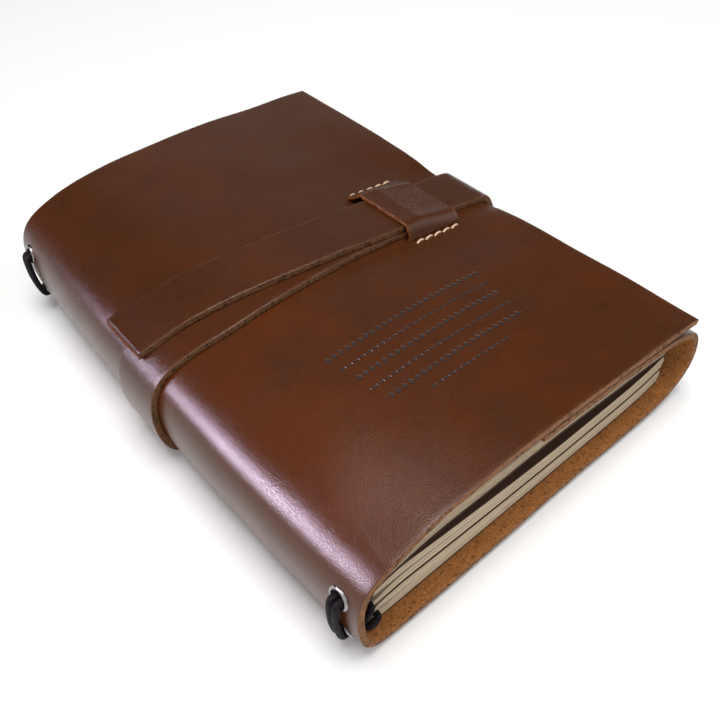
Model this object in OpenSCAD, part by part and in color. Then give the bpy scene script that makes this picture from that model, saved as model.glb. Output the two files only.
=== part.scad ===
// Refillable leather journal: a single sheet of leather folded round four booklets,
// with its end tucked under the front cover and a long strap wrapped round the middle.
// Millimetres. X runs from the spine to the fore-edge, Y from tail to head, Z up.
// The journal lies on its back, on the strap; the origin is under the middle of its outline.

/* [Cover] */
// Height of the cover, tail to head
cover_h = 190; // [150:1:240]
// Width of the closed cover, spine to front edge
cover_w = 129.4; // [115:0.1:160]
// Thickness of the cover leather
cover_t = 2.2; // [1.6:0.1:2.8]
// How far the fore-edge turn stands out past the front edge
turn_out = 6.3; // [5:0.1:9]
// How far the tucked flap reaches back from the front edge
flap_w = 66.7; // [55:0.1:90]
// Gap between the front cover and the flap at head and tail
flap_gap = 0.5; // [0.3:0.1:1.5]
// Rise of the front cover's arch above its front edge
arch_h = 6.4; // [5:0.1:9]
// How far the strap pinches the front edge down
pinch = 3.2; // [0.5:0.1:4]
// How far the spine bows out between its ends
spine_bow = 2.6; // [0:0.1:4]

/* [Booklets] */
// Height of a booklet, tail to head
booklet_h = 180; // [140:1:184]
// Width of a booklet, fold to fore-edge
booklet_w = 121.5; // [104:0.1:122.5]
// Thickness of each of the two lower booklets at the fore-edge
low_t = 6.1; // [5:0.1:8]
// Thickness of each of the two upper booklets at the fore-edge
high_t = 5.2; // [4.5:0.1:7]
// Share of the room left in the cover that opens between the two pairs
fan_share = 0.7; // [0.2:0.05:0.9]
// Share by which a booklet is thicker near its fold
swell = 0.42; // [0.3:0.01:0.5]
// Thickness of a booklet's card cover
card_t = 0.35; // [0.2:0.05:0.5]
// How far the middle pages stand out past the outer ones at the fore-edge
creep = 1.0; // [0.4:0.1:1.4]
// Thickness of a staple's wire
staple_d = 0.6; // [0.4:0.05:0.8]
// Length of a staple along the fold
staple_l = 12; // [8:0.5:14]
// Distance of each staple from the booklet's middle
staple_y = 42; // [30:1:55]

/* [Strap] */
// Width of the strap
strap_w = 20; // [14:0.5:21]
// Thickness of the strap leather
strap_t = 2.2; // [1.6:0.1:2.6]
// How far the free end has swung towards the head
strap_swing = 14; // [0:0.5:18]
// How far the free end stands off the layer below it
strap_lift = 2.4; // [2:0.1:5]

/* [Keeper] */
// Width of the keeper along the strap
keeper_w = 22; // [14:0.5:26]
// Thickness of the keeper leather
keeper_t = 1.2; // [0.9:0.05:1.3]
// Distance of the keeper's middle from the front edge
keeper_x = 27.2; // [24:0.1:34]
// Distance of the keeper's slot on the tail side from mid height
slot_tail = 13.6; // [13:0.1:16]
// Distance of the keeper's slot on the head side from mid height
slot_head = 17.9; // [15:0.1:20]
// Length of the tab sewn under the cover past each slot
tab_l = 5; // [4:0.1:6]
// Number of stitches in each row
stitches = 5; // [3:1:7]
// Distance between stitch holes
stitch_pitch = 3.88; // [2.5:0.02:4]
// Distance of a stitch row from its slot
stitch_inset = 1.6; // [1.4:0.1:2.5]
// Thickness of the waxed thread
thread_d = 0.7; // [0.5:0.05:0.75]

/* [Eyelets and elastic] */
// Flange diameter of an eyelet
eyelet_d = 7; // [6:0.1:8]
// Clear diameter inside an eyelet
eyelet_bore = 4.6; // [4.4:0.1:5]
// Wall thickness of an eyelet's barrel
eyelet_wall = 0.3; // [0.2:0.05:0.5]
// Height of an eyelet's rolled rim
eyelet_rim = 0.6; // [0.4:0.05:0.8]
// Distance of the eyelets from the cover's ends
eyelet_inset = 7; // [5.5:0.1:12]
// Height of the upper eyelets above the back cover's outer face
eyelet_high = 23.6; // [20:0.1:25]
// Height of the lower eyelets above the back cover's outer face
eyelet_low = 6; // [5.5:0.1:8]
// Diameter of the elastic cord
elastic_d = 2; // [1.6:0.1:2.1]

/* [Hidden] */

// Gap left between two pieces of leather that lie on each other
lay = 0.1;
// Gap left between two sheets of paper or card
sheet_gap = 0.03;
// Half of the middle stretch, where the section under the strap stays the same
flat_half = 25;
half_w = cover_w / 2;
half_h = cover_h / 2;

// Height of the leather's mid surface at the front edge, stacked up from the back
fore_rise = 2.1;
fore_gap = 1.6;
flap_drop = cover_t + flap_gap;
edge_z = cover_t + fore_rise + 2 * low_t + fore_gap + 2 * high_t + flap_drop + cover_t / 2;
// Extra room that the keeper's tabs and thread need between front cover and flap
tab_room = keeper_t + thread_d + 2 * lay - flap_gap + 0.2;

function clamp(v, low, high) = min(max(v, low), high);
function mix(a, b, f) = a + (b - a) * f;
function ease(f) = let (c = clamp(f, 0, 1)) c * c * (3 - 2 * c);

// Share of the strap's pinch and of the spine's bow felt at height y
press_half = 45;
fade_half = 65;
function pinch_at(y) = lookup(abs(y), [[flat_half, 1], [press_half, 0.35], [fade_half, 0.1], [half_h, 0]]);
function bow_at(y) = 1 - pow(clamp((abs(y) - flat_half) / (half_h - flat_half), 0, 1), 2);

// Smooth curve guided by control points; straight runs get a single step
function on_curve(p, i, u) = (pow(1 - u, 3) * p[i - 1] + (3 * pow(u, 3) - 6 * u * u + 4) * p[i]
  + (-3 * pow(u, 3) + 3 * u * u + 3 * u + 1) * p[i + 1] + pow(u, 3) * p[i + 2]) / 6;
function is_straight(p, i) = norm(p[i] - p[i - 1]) + norm(p[i + 1] - p[i]) + norm(p[i + 2] - p[i + 1])
  - norm(p[i + 2] - p[i - 1]) < 0.0005;
function curve(ctrl, steps) = let (n = len(ctrl),
  p = concat([2 * ctrl[0] - ctrl[1]], ctrl, [2 * ctrl[n - 1] - ctrl[n - 2]]))
  concat([for (i = [1 : n - 1]) let (s = is_straight(p, i) ? 1 : steps)
    for (k = [0 : s - 1]) on_curve(p, i, k / s)], [ctrl[n - 1]]);

// Unit normal on the right of a path of [x, z] points
function right_normal(p, i) = let (a = p[max(i - 1, 0)], b = p[min(i + 1, len(p) - 1)],
  d = [b.x - a.x, b.y - a.y]) [d.y, -d.x] / norm(d);

// The cover's section at the ends, as the mid line of the leather from the front edge
// over the spine and the back to the end of the flap
front_span = cover_w - 13.7;
front_at = [0, 0.09, 0.21, 0.35, 0.49, 0.64, 0.78, 0.9, 1];
front_rise = [0, 0.24, 0.37, 0.66, 0.89, 0.985, 1, 0.85, 0.38];
function front_guide(f) = [half_w - f * front_span,
  edge_z + arch_h * lookup(f, [for (i = [0 : len(front_at) - 1]) [front_at[i], front_rise[i]]])];
front_guides = [for (f = front_at) front_guide(f)];
spine_guides = [[-half_w + 4.2, edge_z - 1.4], [-half_w + 1.1, edge_z * 0.72],
  [-half_w + 0.7, edge_z * 0.385], [-half_w + 2.7, cover_t / 2 + 2.1],
  [-half_w + 8.7, cover_t / 2]];
back_guides = [for (x = [-half_w + 16, -half_w + 26, -half_w / 3, 0, half_w / 3, half_w - 30, half_w - 20])
  [x, cover_t / 2]];
turn_x = half_w + turn_out - cover_t / 2;
turn_guides = [[half_w - 11, cover_t / 2 + 0.6], [turn_x - 6, cover_t / 2 + 2.3],
  [turn_x + 0.1, edge_z * 0.31], [turn_x + 0.3, edge_z * 0.59], [turn_x - 3.4, edge_z * 0.823]];
flap_at = flap_w / front_span;
flap_guides = concat(
  [for (i = [1 : len(front_at) - 1]) if (front_at[i] < flap_at - 0.04)
    front_guides[i] - [0, flap_drop + (i == 1 ? 0.15 : 0)]],
  [front_guide(flap_at) - [0, flap_drop]]);
curve_steps = 4;
cover_mid = curve(concat(front_guides, spine_guides, back_guides, turn_guides, flap_guides), curve_steps);
cover_n = len(cover_mid);
cover_out = [for (i = [0 : cover_n - 1]) cover_mid[i] + right_normal(cover_mid, i) * cover_t / 2];
cover_in = [for (i = [0 : cover_n - 1]) cover_mid[i] - right_normal(cover_mid, i) * cover_t / 2];
// First point of the path that belongs to the right half of the back
turn_start = [for (i = [0 : cover_n - 1]) if (cover_mid[i].y < edge_z / 2 && cover_mid[i].x > -1) i][0];
// Last point of the path on the spine's upper half
spine_top = [for (i = [0 : cover_n - 1]) if (cover_mid[i].y > edge_z / 2 && i < turn_start) i];
spine_end = spine_top[len(spine_top) - 1];

// How much lower, for each millimetre of height, the strap presses the section at x
function press_front(x) = pinch * pow(clamp(x / half_w, 0, 1), 1.5) / edge_z;
function press_flap(x) = press_front(x) + tab_room * clamp((x - half_w + flap_w + 20) / 20, 0, 1) / edge_z;
function press(p, y, rate) = [p.x, p.y * (1 - pinch_at(y) * rate)];
bow_reach = 25;
function bowed(p, y) = let (f = clamp((bow_reach - half_w - p.x) / bow_reach, 0, 1))
  [p.x - bow_at(y) * spine_bow * f * f, p.y];
function front_point(p, y) = bowed(press(p, y, press_front(p.x)), y);
function flap_point(p, y) = press(p, y, press_flap(p.x));
function cover_point(line, i, y) = i < turn_start ? front_point(line[i], y) : flap_point(line[i], y);

// Height of the front cover's top, with the strap pressing, at x
front_table = [for (i = [0 : spine_end]) front_point(cover_out[i], 0)];
function front_z(x) = lookup(x, front_table);
// Height of the inner face of the back at x
back_table = [for (i = [0 : cover_n - 1]) if (cover_in[i].y < edge_z / 4) cover_in[i]];
function back_z(x) = lookup(x, back_table);

// The whole journal is moved so that its outline is centred and the strap lies on the ground
strap_over = lay + strap_t;
mid_out = [for (i = [0 : cover_n - 1]) cover_point(cover_out, i, 0)];
book_x = -(max([for (p = mid_out) p.x]) + min([for (p = mid_out) p.x])) / 2;
book_z = strap_over;
module placed() { translate([book_x, 0, book_z]) children(); }

// Closed strip between two lines of points, one section at each station. Every strip splits its
// squares the same way, from low x at the outer station to high x at the inner one
module ribbon(stations) {
  n = len(stations[0][0]);
  m = len(stations);
  function at(s, side, i) = (s * 2 + side) * n + i;
  function rising(s, side, i) = (abs(stations[s][0][0].y) >= abs(stations[s + 1][0][0].y))
    == (stations[s][side][i + 1].x > stations[s][side][i].x);
  function square(a, b, c, d, ac) = ac ? [[a, b, c], [a, c, d]] : [[a, b, d], [b, c, d]];
  points = [for (st = stations) for (side = [0, 1]) each st[side]];
  skin = [for (s = [0 : m - 2]) for (i = [0 : n - 2]) each concat(
    square(at(s, 0, i), at(s, 0, i + 1), at(s + 1, 0, i + 1), at(s + 1, 0, i), rising(s, 0, i)),
    square(at(s, 1, i + 1), at(s, 1, i), at(s + 1, 1, i), at(s + 1, 1, i + 1), !rising(s, 1, i)))];
  ends = [for (s = [0 : m - 2]) each concat(
    square(at(s, 0, 0), at(s + 1, 0, 0), at(s + 1, 1, 0), at(s, 1, 0), true),
    square(at(s, 0, n - 1), at(s, 1, n - 1), at(s + 1, 1, n - 1), at(s + 1, 0, n - 1), true))];
  caps = [for (i = [0 : n - 2]) each concat(
    square(at(0, 0, i), at(0, 1, i), at(0, 1, i + 1), at(0, 0, i + 1), true),
    square(at(m - 1, 0, i), at(m - 1, 0, i + 1), at(m - 1, 1, i + 1), at(m - 1, 1, i), true))];
  polyhedron(points, concat(skin, ends, caps));
}

// Places of the eyelets: a point on the spine's outer face and the normal there
eyelet_y = half_h - eyelet_inset;
spine_line = [for (i = [0 : turn_start]) if (cover_out[i].x < 8 - half_w)
  cover_point(cover_out, i, eyelet_y)];
function spine_x(z) = lookup(z, [for (p = spine_line) [p.y, p.x]]);
function eyelet_tilt(z) = atan2(-2, spine_x(z + 1) - spine_x(z - 1));
module at_eyelet(end, z) {
  translate([spine_x(z), end * eyelet_y, z]) rotate([0, eyelet_tilt(z), 0]) children();
}
function eyelet_place(z) = [spine_x(z), z];
function eyelet_out(z) = [sin(eyelet_tilt(z)), cos(eyelet_tilt(z))];

// The seats pressed flat in the leather under an eyelet's two rims
seat_out = 0.15;
seat_in = cover_t - 0.05;
barrel_r = eyelet_bore / 2 + eyelet_wall;
module eyelet_cut() {
  translate([0, 0, -cover_t - 2]) cylinder(r = barrel_r + 0.02, h = cover_t + 4, $fn = 48);
  translate([0, 0, -seat_out - 0.02]) cylinder(r = eyelet_d / 2 + 0.1, h = 2, $fn = 48);
  translate([0, 0, -seat_in - 1.98]) cylinder(r = eyelet_d / 2 - 0.1, h = 2, $fn = 48);
}

// Stations along Y at which the cover's section is drawn
cover_ys = [-half_h, -mix(fade_half, half_h, 0.5), -fade_half, -mix(press_half, fade_half, 0.5),
  -press_half, -mix(flat_half, press_half, 0.5), -flat_half];
cover_stations = concat(cover_ys, [for (i = [len(cover_ys) - 1 : -1 : 0]) -cover_ys[i]]);

// Places of the keeper's slots and stitches
keeper_mid = half_w - keeper_x;
keeper_slope = atan2(front_z(keeper_mid + keeper_w / 2) - front_z(keeper_mid - keeper_w / 2), keeper_w);
slot_w = keeper_t + 0.3;
// The slots are opened on the tab's side, where the keeper turns
slot_open = 0.5;
stitch_ys = [-slot_tail - stitch_inset, slot_head + stitch_inset];
stitch_x = [for (i = [0 : stitches]) keeper_mid + (i - stitches / 2) * stitch_pitch];
stitch_hole_r = thread_d / 2 + 0.05;
module slot_cut(y, side) {
  translate([keeper_mid, y, front_z(keeper_mid)]) rotate([0, -keeper_slope, 0])
    translate([-keeper_w / 2 - 0.45, -slot_w / 2 - (side < 0 ? slot_open : 0), -cover_t - 0.5])
      cube([keeper_w + 0.9, slot_w + slot_open, cover_t + 2]);
}
module stitch_holes(y, depth) {
  for (x = stitch_x) translate([x, y, front_z(x) - depth])
    cylinder(r = stitch_hole_r, h = depth + 1, $fn = 24);
}

module cover() {
  color([0.33, 0.17, 0.09]) placed() difference() {
    ribbon([for (y = cover_stations) [for (line = [cover_out, cover_in])
      [for (i = [0 : cover_n - 1]) let (p = cover_point(line, i, y)) [p.x, y, p.y]]]]);
    for (end = [-1, 1]) for (z = [eyelet_high, eyelet_low]) at_eyelet(end, z) eyelet_cut();
    slot_cut(-slot_tail, -1);
    slot_cut(slot_head, 1);
    for (y = stitch_ys) stitch_holes(y, cover_t + 0.5);
  }
}

// The strap's mid line as [x, z, y of its middle]: it starts under the keeper, runs over the
// spine and under the back, comes up round the fore-edge, passes through the keeper and ends free
strap_start = keeper_mid - keeper_w * 0.2;
lower_y = -1;
spine_y = 3;
fore_y = 0.8;
function lower_strap_y(x) = mix(lower_y, spine_y, ease((-x - half_w * 0.55) / (half_w * 0.45)));
function back_strap_y(x) = mix(spine_y, fore_y, clamp((x + half_w) / cover_w, 0, 1));
swing_start = half_w * 0.37;
function upper_strap_y(x) = x > swing_start
  ? mix(lower_y, fore_y, ease((x - swing_start) / (half_w * 0.3)))
  : lower_y + strap_swing * pow((swing_start - x) / (swing_start + half_w - 3), 1.5);
function over_cover(i, h) = mid_out[i] + right_normal(mid_out, i) * (h + strap_t / 2);
lower_run = [for (i = [1 : turn_start]) if (i > spine_end || mid_out[i].x < strap_start - 1.5)
  let (p = over_cover(i, lay)) [p.x, p.y, i > spine_end ? back_strap_y(p.x) : lower_strap_y(p.x)]];
turn_run = [for (i = [turn_start + 1 : cover_n - 1]) if (mid_out[i].x > 2 && mid_out[i].y < edge_z * 0.5
    && i < turn_start + 40)
  let (p = over_cover(i, lay)) [p.x, p.y, back_strap_y(p.x)]];
edge_top = front_z(half_w);
turn_out_x = half_w + turn_out + lay + strap_t / 2;
over_edge = curve([turn_run[len(turn_run) - 1], [turn_out_x - 0.6, edge_z * 0.66, fore_y],
  [half_w + 4.6, edge_top - 3.4, fore_y], [half_w + 3.0, edge_top + 0.4, fore_y],
  [half_w - 0.4, edge_top + lay + strap_t / 2 + 0.25, fore_y],
  [half_w - 5, front_z(half_w - 5) + lay + strap_t / 2 + 0.05, fore_y]], 4);
// Height of the upper layer above the cover, which it meets only past the lower layer's start
upper_fall = keeper_w * 0.68;
function upper_h(x) = mix(2 * lay + strap_t, lay, clamp((x - strap_start) / upper_fall, 0, 1));
free_start = -half_w * 0.66;
upper_run = [for (i = [0 : spine_end]) if (mid_out[i].x < half_w - 8 && mid_out[i].x > free_start)
  let (x = mid_out[i].x, p = over_cover(i, upper_h(x))) [p.x, p.y, upper_strap_y(x)]];
last_upper = upper_run[len(upper_run) - 1];
free_end = [-half_w + 0.4, edge_z + strap_lift - 0.1];
function free_point(f, z) = let (x = mix(last_upper.x, free_end.x, f)) [x, z, upper_strap_y(x)];
free_run = curve([last_upper, free_point(0.3, last_upper.y - 1.2),
  free_point(0.65, mix(last_upper.y, free_end.y, 0.62)), free_point(1, free_end.y)], 4);
strap_line = concat([[strap_start, front_z(strap_start) + lay + strap_t / 2, lower_y]],
  lower_run, turn_run, [for (i = [1 : len(over_edge) - 1]) over_edge[i]], upper_run,
  [for (i = [1 : len(free_run) - 1]) free_run[i]]);

module strap() {
  n = len(strap_line);
  color([0.36, 0.19, 0.1]) placed() ribbon([for (side = [-1, 1]) [for (face = [1, -1])
    [for (i = [0 : n - 1]) let (p = strap_line[i], o = right_normal(strap_line, i) * face * strap_t / 2)
      [p.x + o.x, p.z + side * strap_w / 2, p.y + o.y]]]]);
}

// The keeper's mid line as [y, height above the cover]: tab, slot, arch over the strap, slot, tab
under_h = -(cover_t + lay + keeper_t / 2);
top_h = 2 * (lay + strap_t) + lay * 1.6 + keeper_t / 2;
keeper_lo = lower_y - strap_w / 2;
keeper_hi = fore_y + strap_w / 2;
keeper_line = curve([[-slot_tail - tab_l, under_h], [-slot_tail - tab_l / 2, under_h],
  [-slot_tail - 0.6, under_h - 0.1], [-slot_tail + 0.05, under_h + 0.5], [-slot_tail, under_h + 1.6],
  [-slot_tail, -0.2], [-slot_tail, 1.6], [mix(-slot_tail, keeper_lo, 0.14), top_h - 2.1],
  [mix(-slot_tail, keeper_lo, 0.44), top_h], [keeper_lo + 0.9, top_h + 0.3], [keeper_lo + 3, top_h],
  [0, top_h], [keeper_hi - 2, top_h], [keeper_hi - 0.3, top_h + 0.2], [keeper_hi + 0.8, top_h - 0.2],
  [keeper_hi + 2, top_h - 1.3], [mix(keeper_hi, slot_head, 0.6), top_h * 0.45],
  [slot_head - 0.6, 1.5], [slot_head - 0.02, 0.4], [slot_head, -0.8], [slot_head, under_h + 1.6],
  [slot_head - 0.05, under_h + 0.5], [slot_head + 0.6, under_h - 0.1],
  [slot_head + tab_l / 2, under_h], [slot_head + tab_l, under_h]], 3);

// The keeper comes down with the upper layer of the strap, past the lower one's start
function keeper_fall(x, h) = (2 * lay + strap_t - upper_h(x)) * clamp((h - 0.2) / (top_h - 1.2), 0, 1);

module keeper() {
  n = len(keeper_line);
  color([0.34, 0.18, 0.09]) placed() difference() {
    ribbon([for (dx = [-0.5, -0.2, 0.5]) let (x = keeper_mid + dx * keeper_w) [for (face = [-1, 1])
      [for (i = [0 : n - 1]) let (q = keeper_line[i] + right_normal(keeper_line, i) * face * keeper_t / 2)
        [x, q.x, front_z(x) + q.y - keeper_fall(x, q.y)]]]]);
    for (y = stitch_ys) stitch_holes(y, cover_t + keeper_t + 1);
  }
}

// One row of saddle stitches: thread above and below the leather, joined through the holes
module rod_from(p, q) {
  d = q - p;
  translate(p) rotate([0, acos(d.z / norm(d)), atan2(d.y, d.x)]) children();
}
module thread(p, q) {
  rod_from(p, q) translate([0, 0, 0.1]) cylinder(d = thread_d, h = norm(q - p) - 0.2, $fn = 24);
}
module stitch_row(y) {
  over = thread_d * 0.62;
  under = -(cover_t + lay + keeper_t + thread_d * 0.62);
  function at(x, h) = [x, y, front_z(x) + h];
  for (h = [over, under]) {
    for (i = [0 : stitches - 1]) thread(at(stitch_x[i], h), at(stitch_x[i + 1], h));
    for (x = stitch_x) translate(at(x, h)) sphere(d = thread_d * 1.1, $fn = 24);
  }
  for (x = stitch_x) translate(at(x, under)) cylinder(d = thread_d * 0.8, h = over - under, $fn = 24);
}
module keeper_stitching_tail() { color([0.86, 0.75, 0.62]) placed() stitch_row(stitch_ys[0]); }
module keeper_stitching_head() { color([0.86, 0.75, 0.62]) placed() stitch_row(stitch_ys[1]); }

// An eyelet is one turned piece: a domed rim outside, a barrel, and a rolled rim inside
module eyelet_body() {
  bore_r = eyelet_bore / 2;
  rim_out = eyelet_d / 2;
  rim_in = eyelet_d / 2 - 0.3;
  function dome(r, h, z) = [for (a = [0 : 18 : 180]) [mix(bore_r, r, (1 + cos(a)) / 2), z + h * sin(a)]];
  rotate_extrude($fn = 64) polygon(concat(
    dome(rim_out, eyelet_rim, -seat_out),
    reverse(dome(rim_in, -eyelet_rim * 0.8, -seat_in)),
    [[barrel_r, -seat_in], [barrel_r, -seat_out]]));
}
module eyelet(end, z) { color([0.75, 0.75, 0.76]) placed() at_eyelet(end, z) eyelet_body(); }

// Booklets, counted from the back, and how far each fold stands from the spine
fold_x = half_w - 4.6;
fold_at = [for (d = [2.6, 0.8, 0.8, 4.4]) d - fold_x];
leaf_w = min(booklet_w, cover_w - 6.2);
fore_x = leaf_w - fold_x;
swell_full = 14;
swell_end = 78;
function bump(x) = let (d = x + fold_x) d < swell_full
  ? 1 - 0.45 * pow((swell_full - max(d, 4)) / 10, 2)
  : pow(clamp((swell_end - d) / (swell_end - swell_full), 0, 1), 1.5);
// The room inside the cover, below the flap and the place where it ends
cover_under = [for (i = [spine_end : -1 : 0]) cover_in[i]];
flap_under = [for (i = [cover_n - 1 : -1 : turn_start]) if (cover_in[i].y > edge_z * 0.62) cover_in[i]];
function stack_top(x) = -0.2 + min(lookup(x, cover_under) - flap_drop * ease((x - half_w + flap_w + 43) / 35),
  x < 0 ? edge_z * 2 : lookup(x, flap_under));
function stack_low(x) = back_z(x) + sheet_gap;
function room(x) = stack_top(x) - stack_low(x) - 4 * sheet_gap;
function want(x) = 2 * (low_t + high_t) * (1 + swell * bump(x));
function fill(x) = min(1, (room(x) - 0.1) / want(x));
function spare(x) = room(x) - want(x) * fill(x);
// Levels of the lower and upper face of booklet 1 to 4
function face_z(k, x) = let (f = fill(x) * (1 + swell * bump(x)))
  stack_low(x) + low_t * f * min(k, 2) + high_t * f * max(k - 2, 0);
function bottom_z(b, x) = face_z(b - 1, x) + sheet_gap * (b - 1) + (b > 2 ? fan_share * spare(x) : 0);
function top_z(b, x) = face_z(b, x) + sheet_gap * (b - 1) + (b > 2 ? fan_share * spare(x) : 0);

// Centre and radius of a booklet's rounded fold
function fold_r(b) = let (x = fold_at[b - 1] + 3.5) (top_z(b, x) - bottom_z(b, x)) / 2;
function fold_c(b) = let (x = fold_at[b - 1] + fold_r(b)) [x, (top_z(b, x) + bottom_z(b, x)) / 2];
grid_at = [0.085, 0.13, 0.18, 0.24, 0.31, 0.39, 0.48, 0.57, 0.66, 0.75, 0.84, 0.92, 0.96];
grid_x = [for (f = grid_at) f * leaf_w - fold_x];
// Lower or upper half of a booklet's outline, set in by d, from the fold to the fore-edge
function outline(b, side, d) = let (c = fold_c(b), r = fold_r(b)) concat(
  [for (a = [12, 30, 50, 70, 90]) [c.x - (r - d) * cos(a), c.y + side * (r - d) * sin(a)]],
  [for (x = concat(grid_x, [fore_x])) if (x > c.x + 0.8)
    [x, side < 0 ? bottom_z(b, x) + d : top_z(b, x) - d]]);
booklet_stations = [-booklet_h / 2, -fade_half, -press_half, -flat_half,
  flat_half, press_half, fade_half, booklet_h / 2];
function in_place(p, y) = let (q = flap_point(p, y)) [q.x, y, q.y];
function reverse(list) = [for (i = [len(list) - 1 : -1 : 0]) list[i]];

// The elastic runs inside the fold, close to it
channel_r = elastic_d / 2 + 0.1;
fold_skin = card_t + sheet_gap + 0.45;
function channel_c(b) = [fold_at[b - 1] + min(fold_r(b), fold_skin + channel_r), fold_c(b).y];
module channel(b) {
  c = channel_c(b);
  translate([c.x, booklet_h / 2 + 1, c.y]) rotate([90, 0, 0])
    cylinder(r = channel_r, h = booklet_h + 2, $fn = 32);
}
module staple_holes(b) {
  c = fold_c(b);
  for (side = [-1, 1]) for (leg = [-0.5, 0.5])
    translate([fold_at[b - 1] - 1, side * staple_y + leg * staple_l, c.y]) rotate([0, 90, 0])
      cylinder(d = staple_d + 0.1, h = channel_c(b).x - fold_at[b - 1] + 1, $fn = 24);
}
module booklet_card(b) {
  function wrap(d) = concat(reverse(outline(b, -1, d)), outline(b, 1, d));
  color([0.22, 0.14, 0.1]) placed() difference() {
    ribbon([for (y = booklet_stations) [for (d = [card_t, 0]) [for (p = wrap(d)) in_place(p, y)]]]);
    staple_holes(b);
  }
}
module booklet_pages(b) {
  inset = card_t + sheet_gap;
  mid_z = (bottom_z(b, fore_x) + top_z(b, fore_x)) / 2;
  color([0.86, 0.8, 0.68]) placed() difference() {
    ribbon([for (y = booklet_stations) [for (side = [-1, 1])
      [for (p = concat(outline(b, side, inset), [[fore_x + creep, mid_z + side * 0.4]])) in_place(p, y)]]]);
    channel(b);
    staple_holes(b);
  }
}
module booklet_staples(b) {
  c = fold_c(b);
  x = fold_at[b - 1] - staple_d / 2;
  leg_l = channel_c(b).x - fold_at[b - 1] - channel_r - 0.1 + staple_d / 2;
  color([0.7, 0.7, 0.7]) placed() for (side = [-1, 1]) translate([x, side * staple_y, c.y]) {
    rotate([90, 0, 0]) cylinder(d = staple_d, h = staple_l, center = true, $fn = 24);
    for (leg = [-0.5, 0.5]) translate([0, leg * staple_l, 0]) {
      sphere(d = staple_d, $fn = 24);
      rotate([0, 90, 0]) cylinder(d = staple_d, h = leg_l, $fn = 24);
    }
  }
}

// Round cord swept along a line of points, with frames carried from ring to ring
function unit(v) = v / norm(v);
function carry(line, i, n, out) = i == len(line) ? out
  : let (t = unit(line[min(i + 1, len(line) - 1)] - line[max(i - 1, 0)]), m = unit(n - t * (n * t)))
    carry(line, i + 1, m, concat(out, [[m, cross(t, m)]]));
module cord(line, d, sides) {
  n = len(line);
  frames = carry(line, 0, [0, 0, 1], []);
  points = [for (i = [0 : n - 1]) for (a = [0 : 360 / sides : 359])
    line[i] + (frames[i][0] * cos(a) + frames[i][1] * sin(a)) * d / 2];
  skin = [for (i = [0 : n - 2]) for (j = [0 : sides - 1]) let (k = (j + 1) % sides) each [
    [i * sides + j, (i + 1) * sides + j, (i + 1) * sides + k],
    [i * sides + j, (i + 1) * sides + k, i * sides + k]]];
  polyhedron(points, concat(skin, [[for (j = [0 : sides - 1]) j]],
    [[for (j = [sides - 1 : -1 : 0]) (n - 1) * sides + j]]));
}

// Route of a loop at one end of the journal: out of the fold of booklet hi, round its end,
// through the upper eyelet, down outside the spine and back in to the fold of booklet lo
er = elastic_d / 2;
function tuck_in(end, c, e, out, dy) = let (
  tail = booklet_h / 2,
  y = eyelet_y + dy,
  inside = e - out * (cover_t + er * 1.6),
  off = c - inside,
  along = unit(off - out * (off * out)),
  near = inside + along * er * (dy < 0 ? 2.6 : 1.8),
  points = [[c.x, tail - 8 * er, c.y], [c.x, tail - 3 * er, c.y], [c.x, tail + 0.7 * er, c.y],
    [c.x - 0.3 * er, tail + 1.8 * er, c.y],
    [mix(c.x, near.x, 0.5), tail + 2.1 * er, mix(c.y, near.y, 0.35)],
    [near.x + 0.2 * er, tail + 1.8 * er, mix(c.y, near.y, 0.75)],
    [near.x, mix(tail + 1.4 * er, y, dy < 0 ? 0.6 : 0.4), near.y],
    [mix(inside.x, near.x, 0.55), y, mix(inside.y, near.y, 0.55)],
    [inside.x, y, inside.y], [e.x - out.x * cover_t * 0.6, y, e.y - out.y * cover_t * 0.6]])
  [for (q = points) [q.x, end * q.y, q.z]];
rim_r = eyelet_d / 2;
cord_h = eyelet_rim + er * 1.3;
function loop_end(end, hi, lo, dy) = let (
  y = end * (eyelet_y + dy),
  eu = eyelet_place(eyelet_high), nu = eyelet_out(eyelet_high),
  el = eyelet_place(eyelet_low), nl = eyelet_out(eyelet_low))
  concat(tuck_in(end, channel_c(hi), eu, nu, dy),
    [[eu.x + nu.x * cord_h, y, eu.y + nu.y * cord_h],
     [eu.x + nu.x * cord_h * 1.05 - 0.3 * er, y, eu.y - rim_r],
     [(eu.x + el.x) / 2 - 2.9 * er, y, (eu.y + el.y) / 2],
     [el.x + nl.x * cord_h * 1.15 - 0.75 * er, y, el.y + rim_r * 0.9],
     [el.x + nl.x * cord_h * 1.1, y, el.y + nl.y * cord_h * 1.1]],
    reverse(tuck_in(end, channel_c(lo), el, nl, dy)));
function loop_line(hi, lo, dy) = let (c = channel_c(hi), join = 0.1, run = 10)
  curve(concat([[c.x, -join, c.y], [c.x, -run, c.y]], loop_end(-1, hi, lo, dy),
    reverse(loop_end(1, hi, lo, dy)), [[c.x, run, c.y], [c.x, join, c.y]]), 2);
strand_dy = er + 0.05;
module elastic(hi, lo, dy) {
  color([0.08, 0.07, 0.08]) placed() cord(loop_line(hi, lo, dy), elastic_d, 8);
}
module elastic_outer() { elastic(4, 1, strand_dy); }
module elastic_inner() { elastic(3, 2, -strand_dy); }

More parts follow.
